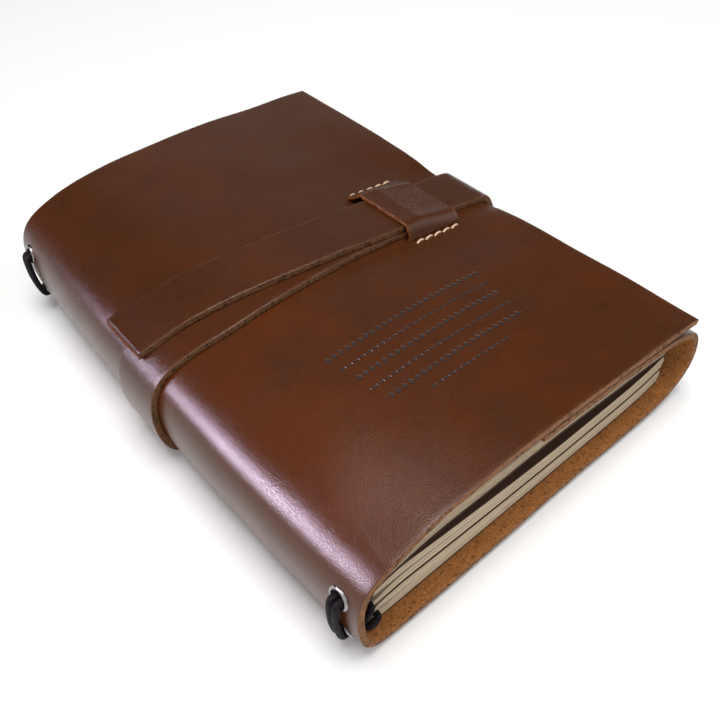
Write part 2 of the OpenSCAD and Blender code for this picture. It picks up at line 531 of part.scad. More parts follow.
cover();
strap();
keeper();
keeper_stitching_tail();
keeper_stitching_head();
eyelet(-1, eyelet_high);  // eyelet_tail_upper
eyelet(-1, eyelet_low);  // eyelet_tail_lower
eyelet(1, eyelet_high);  // eyelet_head_upper
eyelet(1, eyelet_low);  // eyelet_head_lower
elastic_outer();
elastic_inner();
booklet_card(1);  // booklet_1_card
booklet_pages(1);  // booklet_1_pages
booklet_staples(1);  // booklet_1_staples
booklet_card(2);  // booklet_2_card
booklet_pages(2);  // booklet_2_pages
booklet_staples(2);  // booklet_2_staples
booklet_card(3);  // booklet_3_card
booklet_pages(3);  // booklet_3_pages
booklet_staples(3);  // booklet_3_staples
booklet_card(4);  // booklet_4_card
booklet_pages(4);  // booklet_4_pages
booklet_staples(4);  // booklet_4_staples
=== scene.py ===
import math

import bmesh
import bpy
import numpy as np
from bpy.props import FloatProperty, FloatVectorProperty, IntProperty, PointerProperty
from mathutils import Matrix, Vector, noise


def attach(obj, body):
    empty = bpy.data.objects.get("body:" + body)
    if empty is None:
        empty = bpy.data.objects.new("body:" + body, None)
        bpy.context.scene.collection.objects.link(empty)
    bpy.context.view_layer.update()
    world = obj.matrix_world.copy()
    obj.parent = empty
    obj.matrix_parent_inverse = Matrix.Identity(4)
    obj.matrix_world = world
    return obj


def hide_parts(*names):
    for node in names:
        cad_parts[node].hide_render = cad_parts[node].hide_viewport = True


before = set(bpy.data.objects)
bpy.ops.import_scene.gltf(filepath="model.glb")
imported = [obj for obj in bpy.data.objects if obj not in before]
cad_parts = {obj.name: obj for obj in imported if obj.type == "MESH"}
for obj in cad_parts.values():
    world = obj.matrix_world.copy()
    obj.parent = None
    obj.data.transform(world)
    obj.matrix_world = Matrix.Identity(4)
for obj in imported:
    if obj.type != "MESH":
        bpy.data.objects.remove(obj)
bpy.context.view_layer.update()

bl_info = {
    "name": "Leather Journal",
    "version": (1, 0, 0),
    "blender": (4, 5, 0),
    "location": "View3D > Sidebar > Journal",
    "description": "Builds a refillable leather journal with a wrap-round strap",
    "category": "Add Mesh",
}

MM = 0.001


# Sizes and colours

def length(name, description, default):
    return FloatProperty(name=name, description=description, default=default, unit="LENGTH")


def tint(name, description, colour):
    return FloatVectorProperty(name=name, description=description, subtype="COLOR", size=3,
                               min=0.0, max=1.0, default=colour)


class CoverSizes(bpy.types.PropertyGroup):
    height: length("Height", "Cover from tail to head", 0.19)
    width: length("Width", "Cover from spine to front edge", 0.1294)
    leather: length("Leather", "Thickness of the leather", 0.0022)
    turn_out: length("Turn", "How far the fore-edge turn stands out", 0.0063)
    flap: length("Flap", "Width of the tucked flap", 0.0667)
    flap_gap: length("Flap gap", "Gap over the flap at its ends", 0.0005)
    arch: length("Arch", "Rise of the front cover", 0.0064)
    pinch: length("Pinch", "How far the strap presses the front edge", 0.0032)
    bow: length("Bow", "How far the spine bows out", 0.0026)


class BookletSizes(bpy.types.PropertyGroup):
    height: length("Height", "Booklet from tail to head", 0.18)
    width: length("Width", "Booklet from fold to fore-edge", 0.1215)
    low: length("Lower", "Thickness of a lower booklet", 0.0061)
    high: length("Upper", "Thickness of an upper booklet", 0.0052)
    fan: FloatProperty(name="Fan", description="Share of the spare room between the pairs", default=0.7)
    swell: FloatProperty(name="Swell", description="Extra thickness near the fold", default=0.42)
    card: length("Card", "Thickness of the card cover", 0.00035)
    creep: length("Creep", "How far the middle pages stand out", 0.001)
    bundles: IntProperty(name="Bundles", description="Bundles of folded sheets in a booklet", default=13)


class StrapSizes(bpy.types.PropertyGroup):
    width: length("Width", "Width of the strap", 0.02)
    leather: length("Leather", "Thickness of the strap", 0.0022)
    swing: length("Swing", "How far the end swings to the head", 0.014)
    lift: length("Lift", "How far the end stands off", 0.0024)


class KeeperSizes(bpy.types.PropertyGroup):
    width: length("Width", "Width along the strap", 0.022)
    leather: length("Leather", "Thickness of the keeper", 0.0012)
    inset: length("Inset", "Keeper's middle from the front edge", 0.0272)
    slot_tail: length("Tail slot", "Tail slot from mid height", 0.0136)
    slot_head: length("Head slot", "Head slot from mid height", 0.0179)
    tab: length("Tab", "Length of the sewn tab", 0.005)
    stitches: IntProperty(name="Stitches", description="Stitches in each row", default=5)
    pitch: length("Pitch", "Distance between stitch holes", 0.00388)
    row_inset: length("Row inset", "Stitch row from its slot", 0.0016)
    thread: length("Thread", "Thickness of the thread", 0.0007)


class CordSizes(bpy.types.PropertyGroup):
    eyelet: length("Eyelet", "Flange of an eyelet", 0.007)
    bore: length("Bore", "Clear hole of an eyelet", 0.0046)
    wall: length("Wall", "Wall of an eyelet's barrel", 0.0003)
    rim: length("Rim", "Height of an eyelet's rolled rim", 0.0006)
    inset: length("Inset", "Eyelets from the cover's ends", 0.007)
    high: length("High", "Height of the upper eyelets", 0.0236)
    low: length("Low", "Height of the lower eyelets", 0.006)
    elastic: length("Elastic", "Thickness of the elastic", 0.002)


class Finishes(bpy.types.PropertyGroup):
    dark: tint("Dark leather", "The leather's main colour", (0.062, 0.018, 0.0055))
    warm: tint("Warm leather", "The leather where it is rubbed and pulled", (0.098, 0.0235, 0.0045))
    strap: tint("Strap leather", "The strap's main colour", (0.058, 0.018, 0.0065))
    edge: tint("Cut edge", "Cut edges of the leather", (0.2, 0.095, 0.046))
    suede: tint("Suede", "The leather's flesh side", (0.34, 0.14, 0.045))
    raw: tint("Raw edge", "Edges that were left undyed", (0.4, 0.12, 0.035))
    paper: tint("Paper", "Edges of the pages", (0.64, 0.52, 0.375))
    card: tint("Card", "Covers of the booklets", (0.06, 0.03, 0.018))
    thread: tint("Thread", "Waxed thread", (0.72, 0.5, 0.34))
    metal: tint("Metal", "Eyelets and staples", (0.34, 0.325, 0.315))
    elastic: tint("Elastic", "Elastic cord", (0.006, 0.0045, 0.006))


SIZES = {"cover": CoverSizes, "booklets": BookletSizes, "strap": StrapSizes, "keeper": KeeperSizes,
         "cords": CordSizes, "finishes": Finishes}


# Curves

def clamp(value, low=0.0, high=1.0):
    return np.clip(value, low, high)


def mix(a, b, f):
    return a + (b - a) * f


def ease(f):
    c = clamp(f)
    return c * c * (3 - 2 * c)


def curve(guides, steps):
    """Smooth curve guided by control points, as an array of points"""
    g = np.array(guides, dtype=float)
    p = np.vstack([2 * g[0] - g[1], g, 2 * g[-1] - g[-2]])
    u = (np.arange(steps) / steps)[:, None]
    spans = [((1 - u) ** 3 * p[i - 1] + (3 * u ** 3 - 6 * u * u + 4) * p[i]
              + (-3 * u ** 3 + 3 * u * u + 3 * u + 1) * p[i + 1] + u ** 3 * p[i + 2]) / 6
             for i in range(1, len(g))]
    return np.vstack(spans + [g[-1:]])


def run_of(line):
    """Distance along a line at each of its points"""
    return np.concatenate([[0], np.cumsum(np.linalg.norm(np.diff(line, axis=0), axis=1))])


def spaced(line, gap):
    """The same line with points at an even distance, no wider than gap"""
    run = run_of(line)
    count = max(2, int(run[-1] / gap) + 1)
    at = np.linspace(0, run[-1], count)
    return np.stack([np.interp(at, run, line[:, k]) for k in range(line.shape[1])], axis=1)


def right_normals(line):
    """Unit normals on the right of a path of [x, z] points"""
    d = np.gradient(line, axis=0)
    d /= np.linalg.norm(d, axis=1)[:, None]
    return np.stack([d[:, 1], -d[:, 0]], axis=1)


def lookup(x, table):
    """Height at x in a table of [x, z] points"""
    order = np.argsort(table[:, 0])
    return np.interp(x, table[order, 0], table[order, 1])


def unit(v):
    return v / np.linalg.norm(v)


# The journal's lines, worked out in millimetres from the scene's sizes

class Journal:
    """Guide points follow the real journal; the names below are shared by several lines"""
    steps = 12
    lay = 0.1  # gap between two pieces of leather
    sheet_gap = 0.03  # gap between two sheets
    fore_rise = 2.1  # what the back cover rises at the fore-edge
    fore_gap = 1.6  # what the booklets leave free there
    front_end = 13.7  # what the spine takes of the cover's width
    lower_y = -1.0  # middle of the strap's first layer on the front
    spine_y = 3.0  # the same at the spine
    fore_y = 0.8  # and at the fore-edge

    def __init__(self, scene):
        for group in ("cover", "booklets", "strap", "keeper", "cords"):
            values = getattr(scene, "journal_" + group)
            for key in values.bl_rna.properties.keys():
                if key in ("rna_type", "name"):
                    continue
                value = getattr(values, key)
                scaled = isinstance(value, float) and key not in ("fan", "swell")
                setattr(self, group + "_" + key, value / MM if scaled else value)
        self.half_w = self.cover_width / 2
        self.half_h = self.cover_height / 2
        self.flap_drop = self.cover_leather + self.cover_flap_gap
        self.edge_z = (self.cover_leather + self.fore_rise + 2 * self.booklets_low + self.fore_gap
                       + 2 * self.booklets_high + self.flap_drop + self.cover_leather / 2)
        self.tab_room = self.keeper_leather + self.keeper_thread + 2 * self.lay - self.cover_flap_gap + 0.2
        self.make_cover_line()
        self.make_strap_line()
        self.make_keeper_line()
        self.make_folds()

    def make_cover_line(self):
        half_w = self.half_w
        edge_z = self.edge_z
        t = self.cover_leather
        span = self.cover_width - self.front_end
        at = np.array([0, 0.09, 0.21, 0.35, 0.49, 0.64, 0.78, 0.9, 1])
        rise = np.array([0, 0.24, 0.37, 0.66, 0.89, 0.985, 1, 0.85, 0.38])

        def front_guide(f):
            return [half_w - f * span, edge_z + self.cover_arch * np.interp(f, at, rise)]

        front = [front_guide(f) for f in at]
        spine = [[4.2 - half_w, edge_z - 1.4], [1.1 - half_w, edge_z * 0.72],
                 [0.7 - half_w, edge_z * 0.385], [2.7 - half_w, t / 2 + 2.1], [8.7 - half_w, t / 2]]
        back = [[x, t / 2] for x in (16 - half_w, 26 - half_w, -half_w / 3, 0, half_w / 3,
                                     half_w - 30, half_w - 20)]
        turn_x = half_w + self.cover_turn_out - t / 2
        turn = [[half_w - 11, t / 2 + 0.6], [turn_x - 6, t / 2 + 2.3], [turn_x + 0.1, edge_z * 0.31],
                [turn_x + 0.3, edge_z * 0.59], [turn_x - 3.4, edge_z * 0.823]]
        flap_at = self.cover_flap / span
        flap = [[front[i][0], front[i][1] - self.flap_drop - (0.15 if i == 1 else 0)]
                for i in range(1, len(at)) if at[i] < flap_at - 0.04]
        end = front_guide(flap_at)
        flap.append([end[0], end[1] - self.flap_drop])
        self.mid = curve(front + spine + back + turn + flap, self.steps)
        self.normal = right_normals(self.mid)
        self.out = self.mid + self.normal * t / 2
        self.inn = self.mid - self.normal * t / 2
        self.turn_start = int(np.nonzero((self.mid[:, 1] < edge_z / 2) & (self.mid[:, 0] > -1))[0][0])
        upper = np.nonzero(self.mid[:self.turn_start, 1] > edge_z / 2)[0]
        self.spine_end = int(upper[-1])
        self.book_x = 0.0
        self.mid_out = self.cover_place(self.out, np.arange(len(self.out)), 0.0)
        self.book_x = -(self.mid_out[:, 0].max() + self.mid_out[:, 0].min()) / 2
        self.book_z = self.lay + self.strap_leather
        self.front_table = self.mid_out[:self.spine_end + 1]
        low = self.inn[:, 1] < edge_z / 4
        self.back_table = self.inn[low]
        flap_rows = (np.arange(len(self.inn)) >= self.turn_start) & (self.inn[:, 1] > edge_z * 0.62)
        self.flap_table = self.inn[flap_rows]

    def pinch_at(self, y):
        """Share of the strap's pinch that is felt at height y"""
        return np.interp(np.abs(y), [25, 45, 65, self.half_h], [1, 0.35, 0.1, 0])

    def edge_pinch_at(self, y):
        """The same at the front edge, where the leather springs back sooner"""
        return np.interp(np.abs(y - 3), [10, 15, 21, 30, 45, 70], [1, 0.86, 0.5, 0.22, 0.06, 0])

    def press_front(self, x):
        return self.cover_pinch * clamp(x / self.half_w) ** 1.5 / self.edge_z

    def press_flap(self, x):
        ramp = clamp((x - self.half_w + self.cover_flap + 20) / 20)
        return self.press_front(x) + self.tab_room * ramp / self.edge_z

    def press(self, x, z, y, rate):
        return x, z * (1 - self.pinch_at(y) * rate)

    def cover_place(self, line, i, y):
        """Where points of the cover's line lie once the strap presses them and the spine bows"""
        x = line[..., 0]
        rate = np.where(i < self.turn_start, self.press_front(x), self.press_flap(x))
        share = mix(self.pinch_at(y), self.edge_pinch_at(y), ease((x - 49) / 14))
        z = line[..., 1] * (1 - share * rate)
        f = clamp((25 - self.half_w - x) / 25)
        bow = 1 - clamp((np.abs(y) - 25) / (self.half_h - 25)) ** 2
        return np.stack([np.where(i < self.turn_start, x - bow * self.cover_bow * f * f, x), z], axis=-1)

    def front_z(self, x):
        return lookup(x, self.front_table)

    def make_strap_line(self):
        half_w = self.half_w
        edge_z = self.edge_z
        st = self.strap_leather
        normals = right_normals(self.mid_out)
        self.keeper_mid = half_w - self.keeper_inset
        start = self.keeper_mid - self.keeper_width * 0.2
        self.strap_from = start
        swing_start = half_w * 0.37

        def lower_y(x):
            return mix(self.lower_y, self.spine_y, ease((-x - half_w * 0.55) / (half_w * 0.45)))

        def back_y(x):
            return mix(self.spine_y, self.fore_y, clamp((x + half_w) / self.cover_width))

        def upper_y(x):
            if x > swing_start:
                return mix(self.lower_y, self.fore_y, ease((x - swing_start) / (half_w * 0.3)))
            return self.lower_y + self.strap_swing * ((swing_start - x) / (swing_start + half_w - 3)) ** 1.5

        def over(i, h):
            return self.mid_out[i] + normals[i] * (h + st / 2)

        line = [[start, self.front_z(start) + self.lay + st / 2, self.lower_y]]
        for i in range(1, self.turn_start + 1):
            if i > self.spine_end or self.mid_out[i][0] < start - 1.5:
                p = over(i, self.lay)
                line.append([p[0], p[1], back_y(p[0]) if i > self.spine_end else lower_y(p[0])])
        for i in range(self.turn_start + 1, len(self.mid_out)):
            if self.mid_out[i][0] > 2 and self.mid_out[i][1] < edge_z * 0.5:
                p = over(i, self.lay)
                line.append([p[0], p[1], back_y(p[0])])
        edge_top = self.front_z(half_w)
        turn_x = half_w + self.cover_turn_out + self.lay + st / 2
        over_edge = [[turn_x - 0.6, edge_z * 0.66], [half_w + 4.6, edge_top - 3.4],
                     [half_w + 3.0, edge_top + 0.4], [half_w - 0.4, edge_top + self.lay + st / 2 + 0.25],
                     [half_w - 5, self.front_z(half_w - 5) + self.lay + st / 2 + 0.05]]
        edge = curve([line[-1]] + [[x, z, self.fore_y] for x, z in over_edge], self.steps)
        line += edge[1:].tolist()
        free_start = -half_w * 0.66
        for i in range(self.spine_end + 1):
            x = self.mid_out[i][0]
            if free_start < x < half_w - 8:
                p = over(i, self.upper_h(x))
                line.append([p[0], p[1], upper_y(p[0])])
        last = line[-1]
        end_x = -half_w + 0.4
        end_z = edge_z + self.strap_lift - 0.1
        rises = ((0.3, last[1] - 1.2), (0.65, mix(last[1], end_z, 0.62)), (1, end_z))
        places = [(mix(last[0], end_x, f), z) for f, z in rises]
        free = curve([last] + [[x, z, upper_y(x)] for x, z in places], self.steps)
        line += free[1:].tolist()
        self.strap_line = np.array(line)

    def upper_h(self, x):
        """Height of the strap's upper layer above the cover"""
        fall = clamp((x - self.strap_from) / (self.keeper_width * 0.68))
        return mix(2 * self.lay + self.strap_leather, self.lay, fall)

    def keeper_fall(self, x, h):
        """How far the keeper comes down with the strap at x"""
        drop = 2 * self.lay + self.strap_leather - self.upper_h(x)
        return drop * clamp((h - 0.2) / (self.keeper_top - 1.2))

    def make_keeper_line(self):
        t = self.keeper_leather
        under = -(self.cover_leather + self.lay + t / 2)
        top = 2 * (self.lay + self.strap_leather) + self.lay * 1.6 + t / 2
        self.keeper_top = top
        lo = self.lower_y - self.strap_width / 2
        hi = self.fore_y + self.strap_width / 2
        a = -self.keeper_slot_tail
        b = self.keeper_slot_head
        tab = self.keeper_tab
        self.keeper_line = curve([
            [a - tab, under], [a - tab / 2, under], [a - 0.6, under - 0.1], [a + 0.05, under + 0.5],
            [a, under + 1.6], [a, -0.2], [a, 1.6], [mix(a, lo, 0.14), top - 2.1], [mix(a, lo, 0.44), top],
            [lo + 0.9, top + 0.3], [lo + 3, top], [0, top], [hi - 2, top], [hi - 0.3, top + 0.2],
            [hi + 0.8, top - 0.2], [hi + 2, top - 1.3], [mix(hi, b, 0.6), top * 0.45], [b - 0.6, 1.5],
            [b - 0.02, 0.4], [b, -0.8], [b, under + 1.6],
            [b - 0.05, under + 0.5], [b + 0.6, under - 0.1], [b + tab / 2, under], [b + tab, under]], 8)
        self.stitch_x = self.keeper_mid + (np.arange(self.keeper_stitches + 1)
                                           - self.keeper_stitches / 2) * self.keeper_pitch
        self.stitch_y = {"tail": a - self.keeper_row_inset, "head": b + self.keeper_row_inset}

    def make_folds(self):
        self.fold_x = self.half_w - 4.6
        self.fold_at = [d - self.fold_x for d in (2.6, 0.8, 0.8, 4.4)]
        self.leaf_w = min(self.booklets_width, self.cover_width - 6.2)
        self.fore_x = self.leaf_w - self.fold_x

    def bump(self, x):
        d = x + self.fold_x
        near = 1 - 0.45 * ((14 - np.maximum(d, 4)) / 10) ** 2
        return np.where(d < 14, near, clamp((78 - d) / 64) ** 1.5)

    def stack_low(self, x):
        return lookup(x, self.back_table) + self.sheet_gap

    def stack_top(self, x):
        front = lookup(x, self.inn[:self.spine_end + 1])
        front = front - self.flap_drop * ease((x - self.half_w + self.cover_flap + 43) / 35)
        flap = np.where(x < 0, self.edge_z * 2, lookup(x, self.flap_table))
        return np.minimum(front, flap) - 0.2

    def face(self, k, x):
        room = self.stack_top(x) - self.stack_low(x) - 4 * self.sheet_gap
        want = 2 * (self.booklets_low + self.booklets_high) * (1 + self.booklets_swell * self.bump(x))
        fill = np.minimum(1, (room - 0.1) / want)
        spare = room - want * fill
        grow = fill * (1 + self.booklets_swell * self.bump(x))
        return (self.stack_low(x) + self.booklets_low * grow * min(k, 2)
                + self.booklets_high * grow * max(k - 2, 0)), spare

    def faces_of(self, b, x):
        """Heights of the lower and upper face of booklet b"""
        low, spare = self.face(b - 1, x)
        top, spare = self.face(b, x)
        shift = self.sheet_gap * (b - 1) + (self.booklets_fan * spare if b > 2 else 0)
        return low + shift, top + shift

    def fold(self, b):
        """Centre and radius of a booklet's rounded fold"""
        at = self.fold_at[b - 1]
        low, top = self.faces_of(b, at + 3.5)
        r = float(top - low) / 2
        low, top = self.faces_of(b, at + r)
        return np.array([at + r, float(top + low) / 2]), r

    def channel(self, b):
        """Where the elastic runs inside a booklet's fold"""
        c, r = self.fold(b)
        skin = self.booklets_card + self.sheet_gap + 0.55 + self.cords_elastic / 2
        return np.array([self.fold_at[b - 1] + min(r, skin), c[1]])

    def eyelet(self, z):
        """Place and outward direction of an eyelet at height z on the spine"""
        y = self.half_h - self.cords_inset
        rows = np.arange(self.turn_start + 1)
        line = self.cover_place(self.out[rows], rows, y)
        line = line[self.out[rows][:, 0] < 8 - self.half_w][:, ::-1]
        slope = float(lookup(z + 1, line) - lookup(z - 1, line)) / 2
        out = unit(np.array([-1.0, slope]))
        return np.array([float(lookup(z, line)), z]), out

    def placed(self, x, y, z):
        """Points in metres, with the journal moved onto its strap"""
        x, y, z = np.broadcast_arrays(x + self.book_x, y, z + self.book_z)
        return np.stack([x, y, z], axis=-1) * MM


# Meshes

def new_object(name, points, faces, material_rows=None, smooth=True, edges=()):
    """A mesh object made from points and faces, or points and edges"""
    mesh = bpy.data.meshes.new(name)
    mesh.from_pydata(np.asarray(points).reshape(-1, 3).tolist(), list(edges), faces)
    if material_rows is not None:
        mesh.polygons.foreach_set("material_index", np.asarray(material_rows, dtype=np.int32))
    if smooth:
        mesh.polygons.foreach_set("use_smooth", np.ones(len(mesh.polygons), dtype=bool))
    obj = bpy.data.objects.new(name, mesh)
    bpy.context.collection.objects.link(obj)
    return obj


def outward(obj):
    """Turns the normals of a closed mesh outwards"""
    bm = bmesh.new()
    bm.from_mesh(obj.data)
    bmesh.ops.recalc_face_normals(bm, faces=bm.faces)
    bm.to_mesh(obj.data)
    bm.free()
    obj.data.update()


def joined(name, objects):
    """One object out of several"""
    for o in bpy.context.selected_objects:
        o.select_set(False)
    for o in objects:
        o.select_set(True)
    bpy.context.view_layer.objects.active = objects[0]
    bpy.ops.object.join()
    objects[0].name = name
    objects[0].data.name = name
    return objects[0]


def grid_faces(rows, cols, start, flip=False):
    faces = []
    for i in range(rows - 1):
        for j in range(cols - 1):
            a = start + i * cols + j
            q = (a, a + 1, a + cols + 1, a + cols)
            faces.append(q[::-1] if flip else q)
    return faces


EDGE_ROUND = np.array([0.0, 0.12, 0.4, 0.75, 1.0])


def rounded_ends(values, radius):
    """Sample places with extra ones near both ends, and how much thickness each place loses"""
    first, last = values[0], values[-1]
    inner = [v for v in values if first + radius * 1.3 < v < last - radius * 1.3]
    places = np.concatenate([first + EDGE_ROUND * radius, inner, last - EDGE_ROUND[::-1] * radius])
    deep = np.minimum(places - first, last - places)
    loss = radius - np.sqrt(np.maximum(0, radius ** 2 - (radius - np.minimum(deep, radius)) ** 2))
    return places, loss


def slab(name, rows, across, thick, radius, place, burnish=0.45):
    """A strip of leather with rounded cut edges. rows and across are places along and across the
    strip; place(u, v, h) gives points in metres at height h from its middle; burnish is the share
    of the rounding that keeps the finish of the faces"""
    u, lose_u = rounded_ends(rows, radius)
    v, lose_v = rounded_ends(across, radius)
    half = thick / 2 - np.maximum(lose_u[:, None], lose_v[None, :])
    outer = place(u[:, None], v[None, :], half)
    inner = place(u[:, None], v[None, :], -half)
    n, m = half.shape
    points = np.concatenate([outer.reshape(-1, 3), inner.reshape(-1, 3)])
    base = n * m
    faces = grid_faces(n, m, 0) + grid_faces(n, m, base, True)
    rim_u = lose_u > radius * burnish
    rim_v = lose_v > radius * burnish
    rim = (rim_u[:-1] & rim_u[1:])[:, None] | (rim_v[:-1] & rim_v[1:])[None, :]
    kinds = np.where(rim, 2, 0).ravel().tolist() + np.where(rim, 2, 1).ravel().tolist()
    for i in range(n - 1):
        for j in (0, m - 1):
            a = i * m + j
            q = (a, a + m, a + m + base, a + base)
            faces.append(q if j == 0 else q[::-1])
            kinds.append(2)
    for j in range(m - 1):
        for i in (0, n - 1):
            a = i * m + j
            q = (a, a + base, a + 1 + base, a + 1)
            faces.append(q if i == 0 else q[::-1])
            kinds.append(2)
    obj = new_object(name, points, faces, kinds)
    outward(obj)
    rim = np.minimum(np.minimum(u - u[0], u[-1] - u)[:, None], np.minimum(v - v[0], v[-1] - v)[None, :])
    along = np.broadcast_to((u - u[0])[:, None], rim.shape)
    for key, values in (("rim", rim), ("along", along)):
        layer = obj.data.attributes.new(key, "FLOAT", "POINT")
        layer.data.foreach_set("value", np.tile(values.ravel() * MM, 2).astype(np.float32))
    return obj


def tube(name, line, radius, sides):
    """Round cord along a closed or open line, with UVs along and round it"""
    n = len(line)
    tangent = np.gradient(line, axis=0)
    tangent /= np.linalg.norm(tangent, axis=1)[:, None]
    side = np.array([0.0, 0.0, 1.0])
    rings = []
    for i in range(n):
        side = unit(side - tangent[i] * side.dot(tangent[i]))
        other = np.cross(tangent[i], side)
        a = np.arange(sides) * 2 * math.pi / sides
        rings.append(line[i] + radius * (np.cos(a)[:, None] * side + np.sin(a)[:, None] * other))
    run = run_of(line)
    faces = []
    uvs = []
    for i in range(n - 1):
        for j in range(sides):
            k = (j + 1) % sides
            faces.append((i * sides + j, i * sides + k, (i + 1) * sides + k, (i + 1) * sides + j))
            uvs += [(run[i], j / sides), (run[i], (j + 1) / sides),
                    (run[i + 1], (j + 1) / sides), (run[i + 1], j / sides)]
    faces.append(tuple(range(sides))[::-1])
    faces.append(tuple((n - 1) * sides + j for j in range(sides)))
    uvs += [(0, 0)] * (2 * sides)
    obj = new_object(name, np.vstack(rings), faces)
    layer = obj.data.uv_layers.new(name="length")
    layer.data.foreach_set("uv", np.array(uvs).ravel())
    return obj


def holes(obj, cutters):
    """Cuts closed meshes out of a piece"""
    for cutter in cutters:
        m = obj.modifiers.new("hole", "BOOLEAN")
        m.operation = "DIFFERENCE"
        m.solver = "EXACT"
        m.object = cutter
    apply_modifiers(obj)
    for cutter in cutters:
        bpy.data.objects.remove(cutter)


def apply_modifiers(obj):
    graph = bpy.context.evaluated_depsgraph_get()
    mesh = bpy.data.meshes.new_from_object(obj.evaluated_get(graph))
    old = obj.data
    obj.modifiers.clear()
    obj.data = mesh
    mesh.name = obj.name
    if old.users == 0:
        bpy.data.meshes.remove(old)


# Node trees

class Wire:
    """A node's output socket that can be used in plain maths"""

    def __init__(self, net, socket):
        self.net = net
        self.socket = socket

    def maths(self, operation, a, b=None):
        values = {0: a} if b is None else {0: a, 1: b}
        return self.net.node("ShaderNodeMath", {"operation": operation}, values)[0]

    def __add__(self, other):
        return self.maths("ADD", self, other)

    __radd__ = __add__

    def __sub__(self, other):
        return self.maths("SUBTRACT", self, other)

    def __rsub__(self, other):
        return self.maths("SUBTRACT", other, self)

    def __mul__(self, other):
        return self.maths("MULTIPLY", self, other)

    __rmul__ = __mul__

    def __truediv__(self, other):
        return self.maths("DIVIDE", self, other)

    def __pow__(self, other):
        return self.maths("POWER", self, other)

    def most(self, other):
        return self.maths("MAXIMUM", self, other)

    def sine(self):
        return self.maths("SINE", self)

    def size(self):
        return self.maths("ABSOLUTE", self)

    def floor(self):
        return self.maths("FLOOR", self)

    def above(self, other):
        return self.maths("GREATER_THAN", self, other)

    def between(self, low, high):
        """0 below low, 1 above high, smooth between them"""
        return self.net.node("ShaderNodeMapRange", {"interpolation_type": "SMOOTHSTEP", "clamp": True},
                             {"Value": self, "From Min": low, "From Max": high})[0]


class Outputs(list):
    """A new node's outputs by number or by name"""

    def __init__(self, net, node):
        super().__init__(Wire(net, s) for s in node.outputs)
        self.names = {s.name: w for s, w in zip(node.outputs, self)}

    def __getitem__(self, key):
        return self.names[key] if isinstance(key, str) else super().__getitem__(key)


class Net:
    """A node tree under construction"""

    def __init__(self, tree):
        self.tree = tree

    def node(self, kind, settings=None, sockets=None):
        made = self.tree.nodes.new(kind)
        for key, value in (settings or {}).items():
            setattr(made, key, value)
        for key, value in (sockets or {}).items():
            self.feed(made.inputs[key], value)
        return Outputs(self, made)

    def feed(self, socket, value):
        if isinstance(value, Wire):
            self.tree.links.new(value.socket, socket)
        elif hasattr(value, "__len__") and len(value) == 3 and len(socket.default_value) == 4:
            socket.default_value = tuple(value) + (1.0,)
        else:
            socket.default_value = value


class Finish(Net):
    """A material on a Principled shader"""

    def __init__(self, name, **constants):
        self.material = bpy.data.materials.new(name)
        self.material.use_nodes = True
        super().__init__(self.material.node_tree)
        self.shader = self.tree.nodes["Principled BSDF"]
        self.where = self.node("ShaderNodeTexCoord")["Object"]
        for key, value in constants.items():
            self.feed(self.shader.inputs[key.replace("_", " ")], value)

    def finished(self, colour, rough, normal=None):
        """Feeds the shader and gives the material"""
        for socket, value in (("Base Color", colour), ("Roughness", rough), ("Normal", normal)):
            if value is not None:
                self.feed(self.shader.inputs[socket], value)
        return self.material

    def noise(self, scale, detail=3.0, rough=0.55, stretch=None, seed=0.0):
        """Cloudy noise around 0.5, at scale features a metre"""
        where = self.where
        if stretch or seed:
            shift = (seed, seed * 0.7, seed * 0.3)
            where = self.node("ShaderNodeMapping", {}, {
                "Vector": where, "Location": shift, "Scale": stretch or (1, 1, 1)})[0]
        return self.node("ShaderNodeTexNoise", {}, {
            "Vector": where, "Scale": scale, "Detail": detail, "Roughness": rough})[0]

    def cells(self, scale):
        """Distance to the nearest cell's centre"""
        return self.node("ShaderNodeTexVoronoi", {}, {"Vector": self.where, "Scale": scale})["Distance"]

    def kept(self, name):
        """A value that the mesh carries"""
        return self.node("ShaderNodeAttribute", {"attribute_name": name})["Fac"]

    def axes(self):
        split = self.node("ShaderNodeSeparateXYZ", {}, {0: self.where})
        return split[0], split[1], split[2]

    def mixed(self, a, b, f):
        return self.node("ShaderNodeMix", {"data_type": "RGBA"}, {0: f, 6: a, 7: b})[2]

    def tones(self, colour, low, high, share):
        """A darker and a lighter tone of one colour, mixed by share"""
        return self.mixed(tuple(c * low for c in colour), tuple(c * high for c in colour), share)

    def bump(self, height, distance, strength=1.0, under=None):
        values = {"Height": height, "Distance": distance, "Strength": strength}
        if under is not None:
            values["Normal"] = under
        return self.node("ShaderNodeBump", {}, values)[0]


def colours():
    return bpy.context.scene.journal_finishes


def tooling(f, x, y):
    """Rows of small stamped marks, lozenges and dashes in turn: 1 inside a mark"""
    first = -0.039
    pitch = 0.0053
    step = 0.0023
    half_mark = 0.0009
    lozenge_rise = 0.0013
    dash_rise = 0.0004
    row = (first - y) / pitch + 0.5
    k = row.floor()
    dy = ((row - k) - 0.5) * pitch
    u = x / step + k * 0.5
    dx = (u - u.floor() - 0.5) * step
    odd = k - (k * 0.5).floor() * 2
    lozenge = dx.size() / half_mark + dy.size() / lozenge_rise
    dash = (dx.size() / half_mark).most(dy.size() / dash_rise)
    shape = lozenge + (dash - lozenge) * odd
    reach = 0.03 - k * 0.001 - k.above(4.5) * 0.01
    inside = reach.above(x.size()) * k.above(-0.5) * (5.5 - k).above(0.0)
    return (1 - shape.between(0.7, 1.1)) * inside


